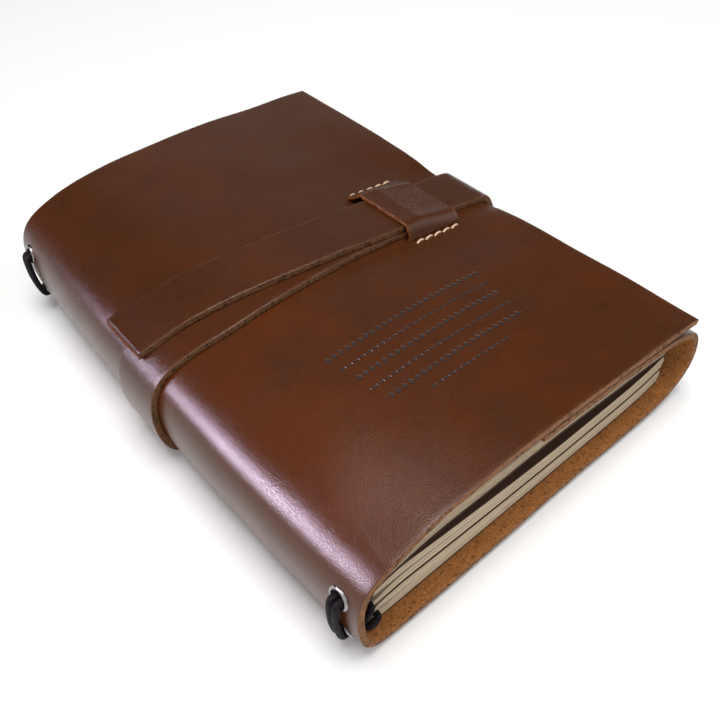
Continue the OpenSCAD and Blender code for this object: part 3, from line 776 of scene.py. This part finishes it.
def grain_leather(name, dark, warm, bias=0.0, tooled=False):
    """Waxed pull-up leather: dark, with warm patches, a fine grain and worn rims"""
    f = Finish(name, Specular_IOR_Level=0.4)
    x, y, _ = f.axes()
    cloud = f.noise(16, 4, 0.6)
    blotch = f.noise(70, 4, 0.6, seed=3.0)
    fine = f.noise(420, 3, 0.6, seed=7.0)
    toward_spine = 1 - x.between(-0.06, 0.05)
    toward_head = y.between(-0.01, 0.06)
    warmth = cloud * 1.3 + blotch * 0.6 + toward_spine * 0.35 - toward_head * 0.3 + (bias - 0.82)
    warmth = warmth.between(0.0, 0.75)
    base = f.mixed(tuple(dark), tuple(warm), warmth)
    mottle = (fine * 0.9 + blotch * 0.5 - 0.1).between(0.05, 0.6) * 0.55 + 0.45
    shade = f.mixed((0.03, 0.011, 0.005), base, mottle)
    worn = (1 - f.kept("rim").between(0.0002, 0.0016)) * (fine + blotch - 0.75).between(0.0, 0.5)
    shade = f.mixed(shade, (0.17, 0.075, 0.032), worn * 0.3)
    pebbles = f.cells(3000)
    wrinkles = f.noise(420, 5, 0.7, seed=11.0)
    pores = f.noise(4800, 2, 0.5, seed=5.0)
    rough = 0.23 + (wrinkles - 0.5) * 0.16 + (1 - warmth) * 0.03
    relief = f.bump(pebbles * 0.6 + pores * 0.5, 0.00008, 0.8)
    relief = f.bump(wrinkles, 0.0004, 0.11, relief)
    if tooled:
        marks = tooling(f, x, y)
        shade = f.mixed(shade, (0.02, 0.014, 0.012), marks * (fine * 0.5 + 0.6))
        relief = f.bump(1 - marks, 0.0003, 0.8, relief)
        rough = rough + marks * 0.25
    return f.finished(shade, rough, relief)


def suede(name, colour):
    """The leather's flesh side: matt and fibrous, mottled with dark specks and light grains"""
    f = Finish(name, Specular_IOR_Level=0.05)
    fibre = f.noise(1100, 4, 0.7, stretch=(1, 0.5, 1))
    patch = f.noise(260, 4, 0.65, seed=4.0)
    light = f.noise(1300, 3, 0.6, seed=17.0).between(0.52, 0.7)
    speck = f.noise(1250, 3, 0.65, seed=9.0).between(0.56, 0.68)
    base = f.tones(colour, 0.55, 1.25, fibre * 0.6 + patch * 0.9 - 0.3)
    base = f.mixed(base, tuple(c * 1.7 for c in colour), light * 0.5)
    return f.finished(f.mixed(base, (0.03, 0.013, 0.006), speck * 0.65), 0.85 + (fibre - 0.5) * 0.1,
                      f.bump(fibre - speck * 0.5, 0.0004, 0.8))


def cut_edge(name, colour, painted_shade_from=None, raw_end=None):
    """A cut edge: layered fibres, a little burnished, with dark specks. Past the x given by the third
    argument it is painted dark brown, a painted shade for the side that faces away from the light; raw_end
    is a colour for the free end and where along the strap it starts"""
    f = Finish(name, Specular_IOR_Level=0.05)
    fibre = f.noise(1400, 4, 0.7)
    layers = f.noise(330, 3, 0.6, stretch=(0.3, 0.3, 4), seed=5.0)
    patch = f.noise(160, 3, 0.6, seed=2.0)
    pits = f.noise(900, 3, 0.7, seed=6.0).between(0.52, 0.64)
    base = f.tones(colour, 0.45, 1.3, fibre * 0.5 + patch * 0.5 + layers * 0.6 - 0.35)
    if painted_shade_from is not None:
        # Past that x the edge is painted dark brown: painted shade for the side that faces away from the
        # light
        base = f.mixed(base, (0.07, 0.028, 0.012), f.axes()[0].between(painted_shade_from - 0.002, painted_shade_from + 0.002))
    if raw_end is not None:
        raw, start = raw_end
        torn = f.tones(raw, 0.35, 1.0, fibre * 0.8 + patch * 0.5 - 0.2)
        base = f.mixed(base, torn, f.kept("along").above(start))
    return f.finished(f.mixed(base, (0.018, 0.009, 0.006), pits * 0.75), 0.65 + (fibre - 0.5) * 0.3,
                      f.bump(fibre + layers * 0.6 - pits * 0.8, 0.0003, 0.8))


def paper(name, colour):
    """Edges of a block of pages: fine lines along the sheets"""
    f = Finish(name, Specular_IOR_Level=0.2)
    z = f.axes()[2]
    warp = f.noise(30, 2, 0.5) * 0.0007
    lines = f.node("ShaderNodeTexNoise", {"noise_dimensions": "1D"},
                   {"W": z + warp, "Scale": 3600.0, "Detail": 3.0, "Roughness": 0.7})[0]
    patch = f.noise(55, 3, 0.6, seed=1.0)
    base = f.tones(colour, 0.75, 1.15, lines * 0.8 + patch * 0.4 - 0.1)
    # Bundles with a low kept "shade" value are mixed towards dark brown: partly random tone of the bundles,
    # partly painted shade standing in for the shadowed gaps between bundles
    return f.finished(f.mixed((0.09, 0.055, 0.035), base, f.kept("shade")), 0.85 + (patch - 0.5) * 0.1,
                      f.bump(lines, 0.00012, 0.5))


def card(name, colour):
    """Matt card of the booklets' covers"""
    f = Finish(name, Specular_IOR_Level=0.3)
    fibre = f.noise(700, 4, 0.7)
    return f.finished(f.tones(colour, 0.7, 1.4, fibre), 0.7 + (fibre - 0.5) * 0.2,
                      f.bump(fibre, 0.0001, 0.5))


def waxed_thread(name, colour):
    """Waxed thread, a little fuzzy"""
    f = Finish(name, Specular_IOR_Level=0.4)
    fuzz = f.noise(3000, 3, 0.6)
    return f.finished(f.tones(colour, 0.7, 1.0, fuzz * 1.2), 0.5 + (fuzz - 0.5) * 0.2,
                      f.bump(fuzz, 0.00012, 0.6))


def nickel(name, colour, rough=0.22):
    """Plated metal, faintly tarnished"""
    f = Finish(name, Metallic=1.0)
    tarnish = f.noise(600, 4, 0.6)
    return f.finished(f.tones(colour, 0.55, 1.0, tarnish.between(0.25, 0.6)), rough + (tarnish - 0.5) * 0.2,
                      f.bump(tarnish, 0.00004, 0.3))


def braid(name, colour):
    """Woven cover of the elastic cord, crossed both ways round it"""
    f = Finish(name, Specular_IOR_Level=0.08)
    uv = f.node("ShaderNodeUVMap", {"uv_map": "length"})[0]
    split = f.node("ShaderNodeSeparateXYZ", {}, {0: uv})
    strand = 0.0011
    strands = 8
    along = split[0] * (2 * math.pi / strand)
    around = split[1] * (2 * math.pi * strands)
    weave = ((along + around).sine().most((along - around).sine())) * 0.5 + 0.5
    return f.finished(f.tones(colour, 0.5, 2.2, weave), 0.62 - weave * 0.1, f.bump(weave, 0.00012, 0.7))


# Finished pieces

def settle(obj, slot, nodes, *materials):
    """Gives a piece its materials and its place on the frame, and hides the CAD nodes that it stands for"""
    for m in materials:
        obj.data.materials.append(m)
    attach(obj, "root")
    if nodes:
        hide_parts(*nodes)
    return obj


def wander(points, scale, seed):
    """Gentle noise between -1 and 1 at each point"""
    shift = Vector((seed, seed * 1.7, seed * 0.3))
    flat = np.asarray(points).reshape(-1, 3)
    values = [noise.noise(Vector(p) * scale + shift) for p in flat.tolist()]
    return np.array(values).reshape(np.asarray(points).shape[:-1])


class JOURNAL_OT_cover(bpy.types.Operator):
    """Make the folded leather cover"""
    bl_idname = "journal.cover"
    bl_label = "Cover"

    def execute(self, context):
        j = Journal(context.scene)
        run = run_of(j.mid)
        turn_run = run[j.turn_start]
        rows = np.linspace(0, run[-1], 300)
        across = np.linspace(-j.half_h, j.half_h, 111)

        def place(u, v, h):
            mid = np.stack([np.interp(u, run, j.mid[:, k]) for k in (0, 1)], axis=-1)
            normal = np.stack([np.interp(u, run, j.normal[:, k]) for k in (0, 1)], axis=-1)
            u2, v2, h2 = np.broadcast_arrays(u, v, h)
            line = mid + normal * h2[..., None]
            side = np.where(u2 < turn_run, 0, j.turn_start + 1)
            p = j.cover_place(line, side, v2)
            ends = clamp((np.abs(v2) - 40) / 50)
            away = clamp((np.abs(v2) - 24) / 14) * (1 - np.exp(-((np.abs(v2) - 88) / 6) ** 2)
                                                    * (line[..., 0] < 12 - j.half_w))
            base = np.stack([line[..., 0], v2, line[..., 1]], axis=-1)
            wave = wander(base, 0.045, 3.1) * 0.35 * away
            y = v2 + np.sign(v2) * wander(base * [1, 0, 1], 0.06, 8.0) * 0.35 * ends ** 4
            shift = np.broadcast_to(normal, line.shape) * wave[..., None]
            return j.placed(p[..., 0] + shift[..., 0], y, np.maximum(p[..., 1] + shift[..., 1], -0.05))

        cover = slab("cover_leather", rows, across, j.cover_leather, 0.45, place, 0.15)
        cutters = []
        for end in (-1, 1):
            for z in (j.cords_high, j.cords_low):
                p, out = j.eyelet(z)
                cutters.append(rod("cut", p, out, end * (j.half_h - j.cords_inset), j, j.cords_bore / 2
                                   + j.cords_wall + 0.03))
        holes(cover, cutters)
        c = colours()
        settle(cover, "cover_leather", ["cover"], grain_leather("cover grain", c.dark, c.warm, tooled=True),
               suede("cover suede", c.suede), cut_edge("cover edge", tuple(v * 1.35 for v in c.edge)))
        return {"FINISHED"}


def rod(name, p, out, y, j, radius):
    """A short rod through the spine at an eyelet"""
    a = p + out * 4
    b = p - out * 7
    line = np.array([j.placed(q[0], y, q[1]) for q in (a, b)])
    obj = tube(name, line, radius * MM, 40)
    outward(obj)
    return obj


class JOURNAL_OT_strap(bpy.types.Operator):
    """Make the strap that wraps round the journal"""
    bl_idname = "journal.strap"
    bl_label = "Strap"

    def execute(self, context):
        j = Journal(context.scene)
        line = spaced(j.strap_line, 0.9)
        flat = line[:, :2]
        normals = right_normals(flat)
        run = run_of(flat)
        rows = np.linspace(0, run[-1], len(flat))
        across = np.linspace(-j.strap_width / 2, j.strap_width / 2, 31)

        def place(u, v, h):
            u2, v2, h2 = np.broadcast_arrays(u, v, h)
            x, z, y = (np.interp(u2, run, line[:, k]) for k in range(3))
            nx, nz = (np.interp(u2, run, normals[:, k]) for k in (0, 1))
            rough = wander(np.stack([u2, v2 * 0, u2 * 0], axis=-1), 0.09, 2.0) * 0.25
            y = y + v2 + np.sign(v2) * rough * (np.abs(v2) > 9)
            frayed = wander(np.stack([v2, h2, v2 * 0], axis=-1), 0.7, 6.0) * 0.35
            bevel = clamp(h2 / j.strap_leather + 0.5) * 0.9
            x = x + clamp((u2 - run[-1] + 0.6) / 0.3) * (bevel + frayed)
            return j.placed(x + nx * h2, y, z + nz * h2)

        strap = slab("strap_leather", rows, across, j.strap_leather, 0.4, place)
        c = colours()
        edge = cut_edge("strap edge", tuple(v * 0.8 for v in c.edge), raw_end=(c.raw, (run[-1] - 0.5) * MM))
        settle(strap, "strap_leather", ["strap"], grain_leather("strap grain", c.strap, c.warm, -0.12),
               suede("strap suede", c.suede), edge)
        fibre = cut_edge("fibre", c.raw)
        fibres = bpy.data.objects.new("strap_fibres", strap.data.copy())
        bpy.context.collection.objects.link(fibres)
        grown(fibres, fibre_tree(fibre, (run[-1] - 0.6) * MM))
        fibres.data.materials.clear()
        settle(fibres, "strap_leather", [], fibre)
        return {"FINISHED"}


def new_tree(name, inputs):
    """A geometry tree with its named inputs: the net and the given values"""
    tree = bpy.data.node_groups.new(name, "GeometryNodeTree")
    for side in ("INPUT", "OUTPUT"):
        tree.interface.new_socket("Geometry", in_out=side, socket_type="NodeSocketGeometry")
    for key, value in inputs.items():
        socket = tree.interface.new_socket(key, in_out="INPUT", socket_type="NodeSocketFloat")
        socket.default_value = value
    n = Net(tree)
    return n, n.node("NodeGroupInput")


def end_tree(n, laid, material):
    """Makes what a tree has laid real, in its material"""
    real = n.node("GeometryNodeRealizeInstances", {}, {"Geometry": laid})
    done = n.node("GeometryNodeSetMaterial", {}, {"Geometry": real[0], "Material": material})
    n.node("NodeGroupOutput", {}, {"Geometry": done[0]})
    return n.tree


def fibre_tree(material, end):
    """Geometry nodes that raise short loose fibres on a cut edge, densest past end"""
    n, given = new_tree("Loose fibres", {"Edge density": 0.5e6, "End density": 5.0e6,
                                         "Length": 0.7 * MM, "Radius": 0.04 * MM})
    kept = n.node("GeometryNodeInputNamedAttribute", {"data_type": "FLOAT"}, {"Name": "along"})
    along = kept["Attribute"]
    cut = n.node("GeometryNodeInputMaterialIndex")[0].above(1.5)
    place = n.node("GeometryNodeInputPosition")[0]
    off_floor = n.node("ShaderNodeSeparateXYZ", {}, {"Vector": place})["Z"].above(1.0 * MM)
    density = cut * off_floor * (given["Edge density"] + along.above(end) * given["End density"])
    spots = n.node("GeometryNodeDistributePointsOnFaces", {},
                   {"Mesh": given["Geometry"], "Density": density, "Seed": 5})
    hair = n.node("GeometryNodeMeshCone", {}, {
        "Vertices": 5, "Side Segments": 3, "Radius Top": 0.01 * MM,
        "Radius Bottom": given["Radius"], "Depth": given["Length"]})
    lean = n.node("FunctionNodeRandomValue", {"data_type": "FLOAT_VECTOR"},
                  {"Min": (-0.9, -0.9, 0.0), "Max": (0.9, 0.9, 6.28), "Seed": 2})[0]
    turned = n.node("FunctionNodeRotateRotation", {"rotation_space": "LOCAL"},
                    {"Rotation": spots["Rotation"], "Rotate By": lean})
    size = n.node("FunctionNodeRandomValue", {"data_type": "FLOAT"}, {2: 0.35, 3: 1.1, "Seed": 8})[1]
    laid = n.node("GeometryNodeInstanceOnPoints", {}, {
        "Points": spots["Points"], "Instance": hair["Mesh"], "Rotation": turned[0], "Scale": size})
    return end_tree(n, laid[0], material)


class JOURNAL_OT_keeper(bpy.types.Operator):
    """Make the keeper that holds the strap"""
    bl_idname = "journal.keeper"
    bl_label = "Keeper"

    def execute(self, context):
        j = Journal(context.scene)
        line = spaced(j.keeper_line, 0.35)
        normals = right_normals(line)
        run = run_of(line)
        across = np.linspace(-j.keeper_width / 2, j.keeper_width / 2, 31)

        def place(u, v, h):
            u2, v2, h2 = np.broadcast_arrays(u, v, h)
            y, z = (np.interp(u2, run, line[:, k]) for k in (0, 1))
            ny, nz = (np.interp(u2, run, normals[:, k]) for k in (0, 1))
            rough = wander(np.stack([u2, h2, v2 * 0], axis=-1), 0.55, 5.0) * 0.35
            x = j.keeper_mid + v2 + rough * (v2 < 0.4 - j.keeper_width / 2)
            return j.placed(x, y - ny * h2, j.front_z(x) + z - nz * h2 - j.keeper_fall(x, z))

        rows = np.linspace(0, run[-1], len(line))
        keeper = slab("keeper_leather", rows, across, j.keeper_leather, 0.2, place)
        c = colours()
        # Past the keeper's middle its cut edge is painted dark brown: painted shade for the side that faces
        # away from the light
        edge = cut_edge("keeper edge", c.raw, (j.keeper_mid + j.book_x) * MM)
        settle(keeper, "cover_leather", ["keeper"], grain_leather("keeper grain", c.dark, c.warm, -0.1),
               suede("keeper suede", c.suede), edge)
        return {"FINISHED"}


def stitch_tree(material):
    """Geometry nodes that lay one plump stitch between each two points of a row"""
    n, given = new_tree("Stitch row", {"Length": 3.3 * MM, "Thread": 0.4 * MM,
                                       "Rise": 0.5 * MM, "Lean": 0.3 * MM})
    half = given["Length"] * 0.5
    dip = given["Rise"] * -0.4
    start = n.node("ShaderNodeCombineXYZ", {}, {"X": half * -1.0, "Y": given["Lean"] * -1.0, "Z": dip})
    middle = n.node("ShaderNodeCombineXYZ", {}, {"Z": given["Rise"] * 1.3})
    end = n.node("ShaderNodeCombineXYZ", {}, {"X": half, "Y": given["Lean"], "Z": dip})
    arc = n.node("GeometryNodeCurveQuadraticBezier", {}, {
        "Resolution": 14, "Start": start[0], "Middle": middle[0], "End": end[0]})
    factor = n.node("GeometryNodeSplineParameter")["Factor"]
    plump = (factor * math.pi).sine() ** 0.35
    ring = n.node("GeometryNodeCurvePrimitiveCircle", {}, {"Resolution": 12, "Radius": given["Thread"]})
    arc = n.node("GeometryNodeSetCurveRadius", {}, {"Curve": arc[0], "Radius": plump})
    body = n.node("GeometryNodeCurveToMesh", {}, {
        "Curve": arc[0], "Profile Curve": ring[0], "Fill Caps": True})
    body = n.node("GeometryNodeSetShadeSmooth", {}, {"Geometry": body[0]})
    row = n.node("GeometryNodeMeshToCurve", {}, {"Mesh": given["Geometry"]})
    points = n.node("GeometryNodeCurveToPoints", {"mode": "EVALUATED"}, {"Curve": row[0]})
    turn = n.node("FunctionNodeAlignRotationToVector", {"axis": "X"}, {"Vector": points["Tangent"]})
    laid = n.node("GeometryNodeInstanceOnPoints", {}, {
        "Points": points["Points"], "Instance": body[0], "Rotation": turn[0]})
    return end_tree(n, laid[0], material)


def grown(obj, tree, **inputs):
    """Runs geometry nodes on a piece and keeps the result as a plain mesh"""
    m = obj.modifiers.new(tree.name, "NODES")
    m.node_group = tree
    for item in tree.interface.items_tree:
        if item.item_type == "SOCKET" and item.in_out == "INPUT" and item.name in inputs:
            m[item.identifier] = inputs[item.name]
    apply_modifiers(obj)
    return obj


class JOURNAL_OT_stitching(bpy.types.Operator):
    """Sew the keeper's two rows of stitches"""
    bl_idname = "journal.stitching"
    bl_label = "Stitching"

    def execute(self, context):
        j = Journal(context.scene)
        material = waxed_thread("waxed thread", colours().thread)
        tree = stitch_tree(material)
        under = -(j.cover_leather + j.lay + j.keeper_leather)
        for end, y in j.stitch_y.items():
            rows = []
            for name, height, rise in (("over", 0.05, 0.75), ("under", under - 0.05, -0.75)):
                middle = (j.stitch_x[:-1] + j.stitch_x[1:]) / 2
                points = [j.placed(x, y, j.front_z(x) + height) for x in middle]
                row = new_object("thread", points, [], edges=[(i, i + 1) for i in range(len(points) - 1)])
                grown(row, tree, Length=j.keeper_pitch * 0.85 * MM, Thread=0.54 * j.keeper_thread * MM,
                      Rise=rise * MM, Lean=0.3 * MM)
                rows.append(row)
            row = joined("keeper_thread_" + end, rows)
            row.data.materials.clear()
            settle(row, "thread", ["keeper_stitching_" + end], material)
        return {"FINISHED"}


class JOURNAL_OT_eyelets(bpy.types.Operator):
    """Plate the eyelets and staples"""
    bl_idname = "journal.eyelets"
    bl_label = "Eyelets and staples"

    def execute(self, context):
        c = colours()
        plate = nickel("nickel", c.metal)
        wire = nickel("staple wire", c.metal, 0.35)
        for name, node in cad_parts.items():
            if name.startswith("eyelet") or name.endswith("staples"):
                node.data.materials.clear()
                node.data.materials.append(plate if name.startswith("eyelet") else wire)
        return {"FINISHED"}


class JOURNAL_OT_elastics(bpy.types.Operator):
    """Thread the elastic loops"""
    bl_idname = "journal.elastics"
    bl_label = "Elastics"

    def tuck_in(self, j, end, c, e, out, dy):
        er = j.cords_elastic / 2
        tail = j.booklets_height / 2
        y = j.half_h - j.cords_inset + dy
        inside = e - out * (j.cover_leather + er * 1.6)
        off = c - inside
        along = unit(off - out * out.dot(off))
        near = inside + along * er * (2.6 if dy < 0 else 1.8)
        points = [[c[0], tail - 8 * er, c[1]], [c[0], tail - 3 * er, c[1]], [c[0], tail + 0.5 * er, c[1]],
                  [c[0] - 0.3 * er, tail + 1.4 * er, c[1]],
                  [mix(c[0], near[0], 0.5), tail + 1.6 * er, mix(c[1], near[1], 0.35)],
                  [near[0] + 0.2 * er, tail + 1.5 * er, mix(c[1], near[1], 0.75)],
                  [near[0], mix(tail + 1.4 * er, y, 0.6 if dy < 0 else 0.4), near[1]],
                  [mix(inside[0], near[0], 0.55), y, mix(inside[1], near[1], 0.55)],
                  [inside[0], y, inside[1]],
                  [e[0] - out[0] * j.cover_leather * 0.6, y, e[1] - out[1] * j.cover_leather * 0.6]]
        return [[p[0], end * p[1], p[2]] for p in points]

    def loop_end(self, j, end, hi, lo, dy):
        er = j.cords_elastic / 2
        rim = j.cords_eyelet / 2
        off = j.cords_rim + er * 1.3
        y = end * (j.half_h - j.cords_inset + dy)
        eu, nu = j.eyelet(j.cords_high)
        el, nl = j.eyelet(j.cords_low)
        outside = [[eu[0] + nu[0] * off, y, eu[1] + nu[1] * off],
                   [eu[0] + nu[0] * off * 1.05 - 0.3 * er, y, eu[1] - rim],
                   [(eu[0] + el[0]) / 2 - 2.9 * er, y, (eu[1] + el[1]) / 2],
                   [el[0] + nl[0] * off * 1.15 - 0.75 * er, y, el[1] + rim * 0.9],
                   [el[0] + nl[0] * off * 1.1, y, el[1] + nl[1] * off * 1.1]]
        return (self.tuck_in(j, end, j.channel(hi), eu, nu, dy) + outside
                + self.tuck_in(j, end, j.channel(lo), el, nl, dy)[::-1])

    def execute(self, context):
        j = Journal(context.scene)
        material = braid("elastic braid", colours().elastic)
        step = j.cords_elastic / 2 + 0.05
        for name, hi, lo, dy in (("outer", 4, 1, step), ("inner", 3, 2, -step)):
            c = j.channel(hi)
            guides = ([[c[0], -0.1, c[1]], [c[0], -10, c[1]]] + self.loop_end(j, -1, hi, lo, dy)
                      + self.loop_end(j, 1, hi, lo, dy)[::-1] + [[c[0], 10, c[1]], [c[0], 0.1, c[1]]])
            line = curve(guides, 8)
            cord = tube("elastic_cord_" + name, j.placed(line[:, 0], line[:, 1], line[:, 2]),
                        j.cords_elastic / 2 * MM, 16)
            outward(cord)
            settle(cord, "elastic", ["elastic_" + name], material)
        return {"FINISHED"}


class JOURNAL_OT_booklets(bpy.types.Operator):
    """Make the four stapled booklets"""
    bl_idname = "journal.booklets"
    bl_label = "Booklets"

    def band(self, j, b, name, offsets, ends, trims):
        """A folded sheet or bundle: offsets are its two faces' distances from the booklet's middle
        as functions of x, ends the x of its fore-edge, trims its y at tail and head"""
        c, r = j.fold(b)
        xs = np.concatenate([np.linspace(c[0] + 0.8, ends - 1, 34), [ends - 0.3, ends]])
        lines = []
        for offset in offsets:
            low, top = j.faces_of(b, np.minimum(xs, j.fore_x))
            middle = (low + top) / 2
            off = offset((top - low) / 2, xs - c[0])
            radius = float(offset(np.array([r]), np.array([0.0]))[0])
            a = np.radians(np.linspace(0, 90, 9))[:-1]
            arc = [[c[0] - radius * math.cos(q), c[1] - radius * math.sin(q)] for q in a[::-1]]
            upper = [[p[0], 2 * c[1] - p[1]] for p in arc[::-1]]
            lines.append(np.array([[x, m - o] for x, m, o in zip(xs[::-1], middle[::-1], off[::-1])]
                                  + [[c[0], c[1] - radius]] + arc + upper[1:] + [[c[0], c[1] + radius]]
                                  + [[x, m + o] for x, m, o in zip(xs, middle, off)]))
        ys = np.array([trims[0], -60, -35, -22, 22, 35, 60, trims[1]])
        n = len(lines[0])
        points = []
        for y in ys:
            for line in lines:
                x, z = j.press(line[:, 0], line[:, 1], y, j.press_flap(line[:, 0]))
                points.append(j.placed(x, y, z))
        faces = []
        ring = 2 * n
        for s in range(len(ys) - 1):
            for i in range(n - 1):
                a = s * ring + i
                faces.append((a, a + 1, a + 1 + ring, a + ring))
                faces.append((a + n, a + n + ring, a + n + 1 + ring, a + n + 1))
            for i in (0, n - 1):
                a = s * ring + i
                q = (a, a + ring, a + ring + n, a + n)
                faces.append(q if i == 0 else q[:1] + q[:0:-1])
        for s in (0, len(ys) - 1):
            for i in range(n - 1):
                a = s * ring + i
                q = (a, a + n, a + n + 1, a + 1)
                faces.append(q if s == 0 else q[:1] + q[:0:-1])
        obj = new_object(name, np.vstack(points), faces, smooth=False)
        outward(obj)
        return obj

    def execute(self, context):
        j = Journal(context.scene)
        c = colours()
        pages = paper("page edges", c.paper)
        cover_card = card("card", c.card)
        random = np.random.default_rng(4)
        half = j.booklets_height / 2
        t = j.booklets_card
        for b in (1, 2, 3, 4):
            name = "booklet_%d" % b
            skins = (lambda h, d: h, lambda h, d: h - t)
            shell = self.band(j, b, name + "_cover", skins, j.fore_x, (-half, half))
            settle(shell, "card", [name + "_card"], cover_card)
            count = j.booklets_bundles
            bundles = []
            for k in range(count):
                f0 = k / count
                f1 = (k + random.uniform(0.6, 0.97)) / count

                def offset(f):
                    return lambda h, d: mix(h - t - 0.03, 1.25 * np.exp(-d / 9) + 0.02, f)

                jag = random.uniform(-0.12, 0.12, 3)
                end = j.fore_x + j.booklets_creep * min(1, (k + 0.5) / count) - 0.12 + jag[0]
                sheets = self.band(j, b, "bundle", (offset(f0), offset(f1)), end,
                                   (-half + 0.15 + jag[1], half - 0.15 + jag[2]))
                # Each bundle's "shade" value is partly random tone and partly painted shade: the darkest
                # bundles stand in for the shadowed gaps between bundles
                shade = sheets.data.attributes.new("shade", "FLOAT", "POINT")
                tone = random.choice([1.0, 0.93, 0.85, 0.55])
                shade.data.foreach_set("value", np.full(len(sheets.data.vertices), tone, dtype=np.float32))
                bundles.append(sheets)
            block = joined(name + "_paper", bundles)
            settle(block, "paper", [name + "_pages"], pages)
        return {"FINISHED"}


# Name, place, aim, power, width, depth and colour of each lamp
LAMPS = (
    ("key", (-0.03, -0.1, 1.05), (0, 0, 0.02), 9.6, 0.55, 0.55, (1.0, 0.99, 0.975)),
    ("strip", (-0.75, 0.37, 0.42), (-0.06, -0.03, 0.035), 15.0, 0.38, 0.2, (0.9, 0.77, 1.0)),
)
# Turn, tilt and roll of the photograph's camera in degrees, and its place in millimetres
CAMERA_ANGLES = (-36.304, 46.962, -5.062)
CAMERA_EYE = (-107.562, -163.518, 197.287)
# Its focal length in the picture's pixels, the picture's width, and the sensor in millimetres
CAMERA_FOCUS = 789.247
FRAME_WIDTH = 720
SENSOR = 36


class JOURNAL_OT_stage(bpy.types.Operator):
    """Set the floor, the lights and the camera"""
    bl_idname = "journal.stage"
    bl_label = "Stage"

    def surround(self, scene):
        """Soft white room with a dark panel, so that the leather keeps its depth"""
        world = bpy.data.worlds.new("studio")
        world.use_nodes = True
        net = Net(world.node_tree)
        shade = world.node_tree.nodes["Background"]
        where = net.node("ShaderNodeTexCoord")["Generated"]

        def towards(x, y, z):
            aim = tuple(unit(np.array([x, y, z])))
            dot = net.node("ShaderNodeVectorMath", {"operation": "DOT_PRODUCT"}, {0: where, 1: aim})
            return dot["Value"]

        light = 0.95 - towards(0.15, 0.72, 0.68).between(0.1, 0.65) * 0.93
        light = light + towards(0.5, 0.8, 0.33).between(0.9, 0.99) * 0.25
        shade.inputs["Color"].default_value = (1.0, 1.0, 1.0, 1.0)
        net.feed(shade.inputs["Strength"], light)
        scene.world = world

    def facing(self, place, aim):
        """Matrix of a lamp at place that shines at aim, with its width kept level along the spine"""
        back = (place - aim).normalized()
        along = (Vector((0, 1, 0)) - back * back.y).normalized()
        other = back.cross(along)
        return Matrix([[along[k], other[k], back[k], place[k]] for k in range(3)] + [[0, 0, 0, 1]])

    def execute(self, context):
        scene = context.scene
        size = 6.0
        corners = [(-size, -size, 0), (size, -size, 0), (size, size, 0), (-size, size, 0)]
        floor = new_object("floor", corners, [(0, 1, 2, 3)], smooth=False)
        f = Finish("floor", Specular_IOR_Level=0.0)
        pale = f.mixed((0.93, 0.93, 0.93), (0.95, 0.95, 0.95), f.noise(3))
        floor.data.materials.append(f.finished(pale, 0.95 + (f.noise(5) - 0.5) * 0.02))
        self.surround(scene)
        for name, place, aim, power, width, depth, colour in LAMPS:
            light = bpy.data.lights.new(name, "AREA")
            light.shape = "RECTANGLE"
            light.energy = power
            light.color = colour
            light.size = width
            light.size_y = depth
            lamp = bpy.data.objects.new(name, light)
            bpy.context.collection.objects.link(lamp)
            lamp.matrix_world = self.facing(Vector(place), Vector(aim))
            lamp.visible_diffuse = name == "key"
        j = Journal(scene)
        turn, tilt, roll = (math.radians(angle) for angle in CAMERA_ANGLES)
        back = np.array([math.sin(turn) * math.cos(tilt), -math.cos(turn) * math.cos(tilt), math.sin(tilt)])
        right = unit(np.cross(-back, [0, 0, 1]))
        up = np.cross(right, -back)
        across = math.cos(roll) * right + math.sin(roll) * up
        above = -math.sin(roll) * right + math.cos(roll) * up
        eye = j.placed(*CAMERA_EYE)
        matrix = Matrix([[across[k], above[k], back[k], eye[k]] for k in range(3)] + [[0, 0, 0, 1]])
        lens = bpy.data.cameras.new("camera")
        lens.sensor_width = SENSOR
        lens.lens = CAMERA_FOCUS / FRAME_WIDTH * SENSOR
        camera = bpy.data.objects.new("camera", lens)
        bpy.context.collection.objects.link(camera)
        camera.matrix_world = matrix
        scene.camera = camera
        scene.view_settings.view_transform = "Standard"
        return {"FINISHED"}


OPERATORS = (JOURNAL_OT_cover, JOURNAL_OT_strap, JOURNAL_OT_keeper, JOURNAL_OT_stitching,
             JOURNAL_OT_eyelets, JOURNAL_OT_elastics, JOURNAL_OT_booklets, JOURNAL_OT_stage)


class JOURNAL_PT_panel(bpy.types.Panel):
    bl_label = "Leather Journal"
    bl_idname = "JOURNAL_PT_panel"
    bl_space_type = "VIEW_3D"
    bl_region_type = "UI"
    bl_category = "Journal"

    def draw(self, context):
        for name in SIZES:
            box = self.layout.box()
            box.label(text=name.capitalize())
            group = getattr(context.scene, "journal_" + name)
            for key in group.bl_rna.properties.keys():
                if key not in ("rna_type", "name"):
                    box.prop(group, key)
        for operator in OPERATORS:
            self.layout.operator(operator.bl_idname)


def register():
    for cls in tuple(SIZES.values()) + OPERATORS + (JOURNAL_PT_panel,):
        bpy.utils.register_class(cls)
    for name, cls in SIZES.items():
        setattr(bpy.types.Scene, "journal_" + name, PointerProperty(type=cls))


def unregister():
    for name in SIZES:
        delattr(bpy.types.Scene, "journal_" + name)
    for cls in (JOURNAL_PT_panel,) + OPERATORS[::-1] + tuple(SIZES.values()):
        bpy.utils.unregister_class(cls)


def main():
    register()
    for operator in OPERATORS:
        group, name = operator.bl_idname.split(".")
        getattr(getattr(bpy.ops, group), name)()


if __name__ == "__main__":
    main()
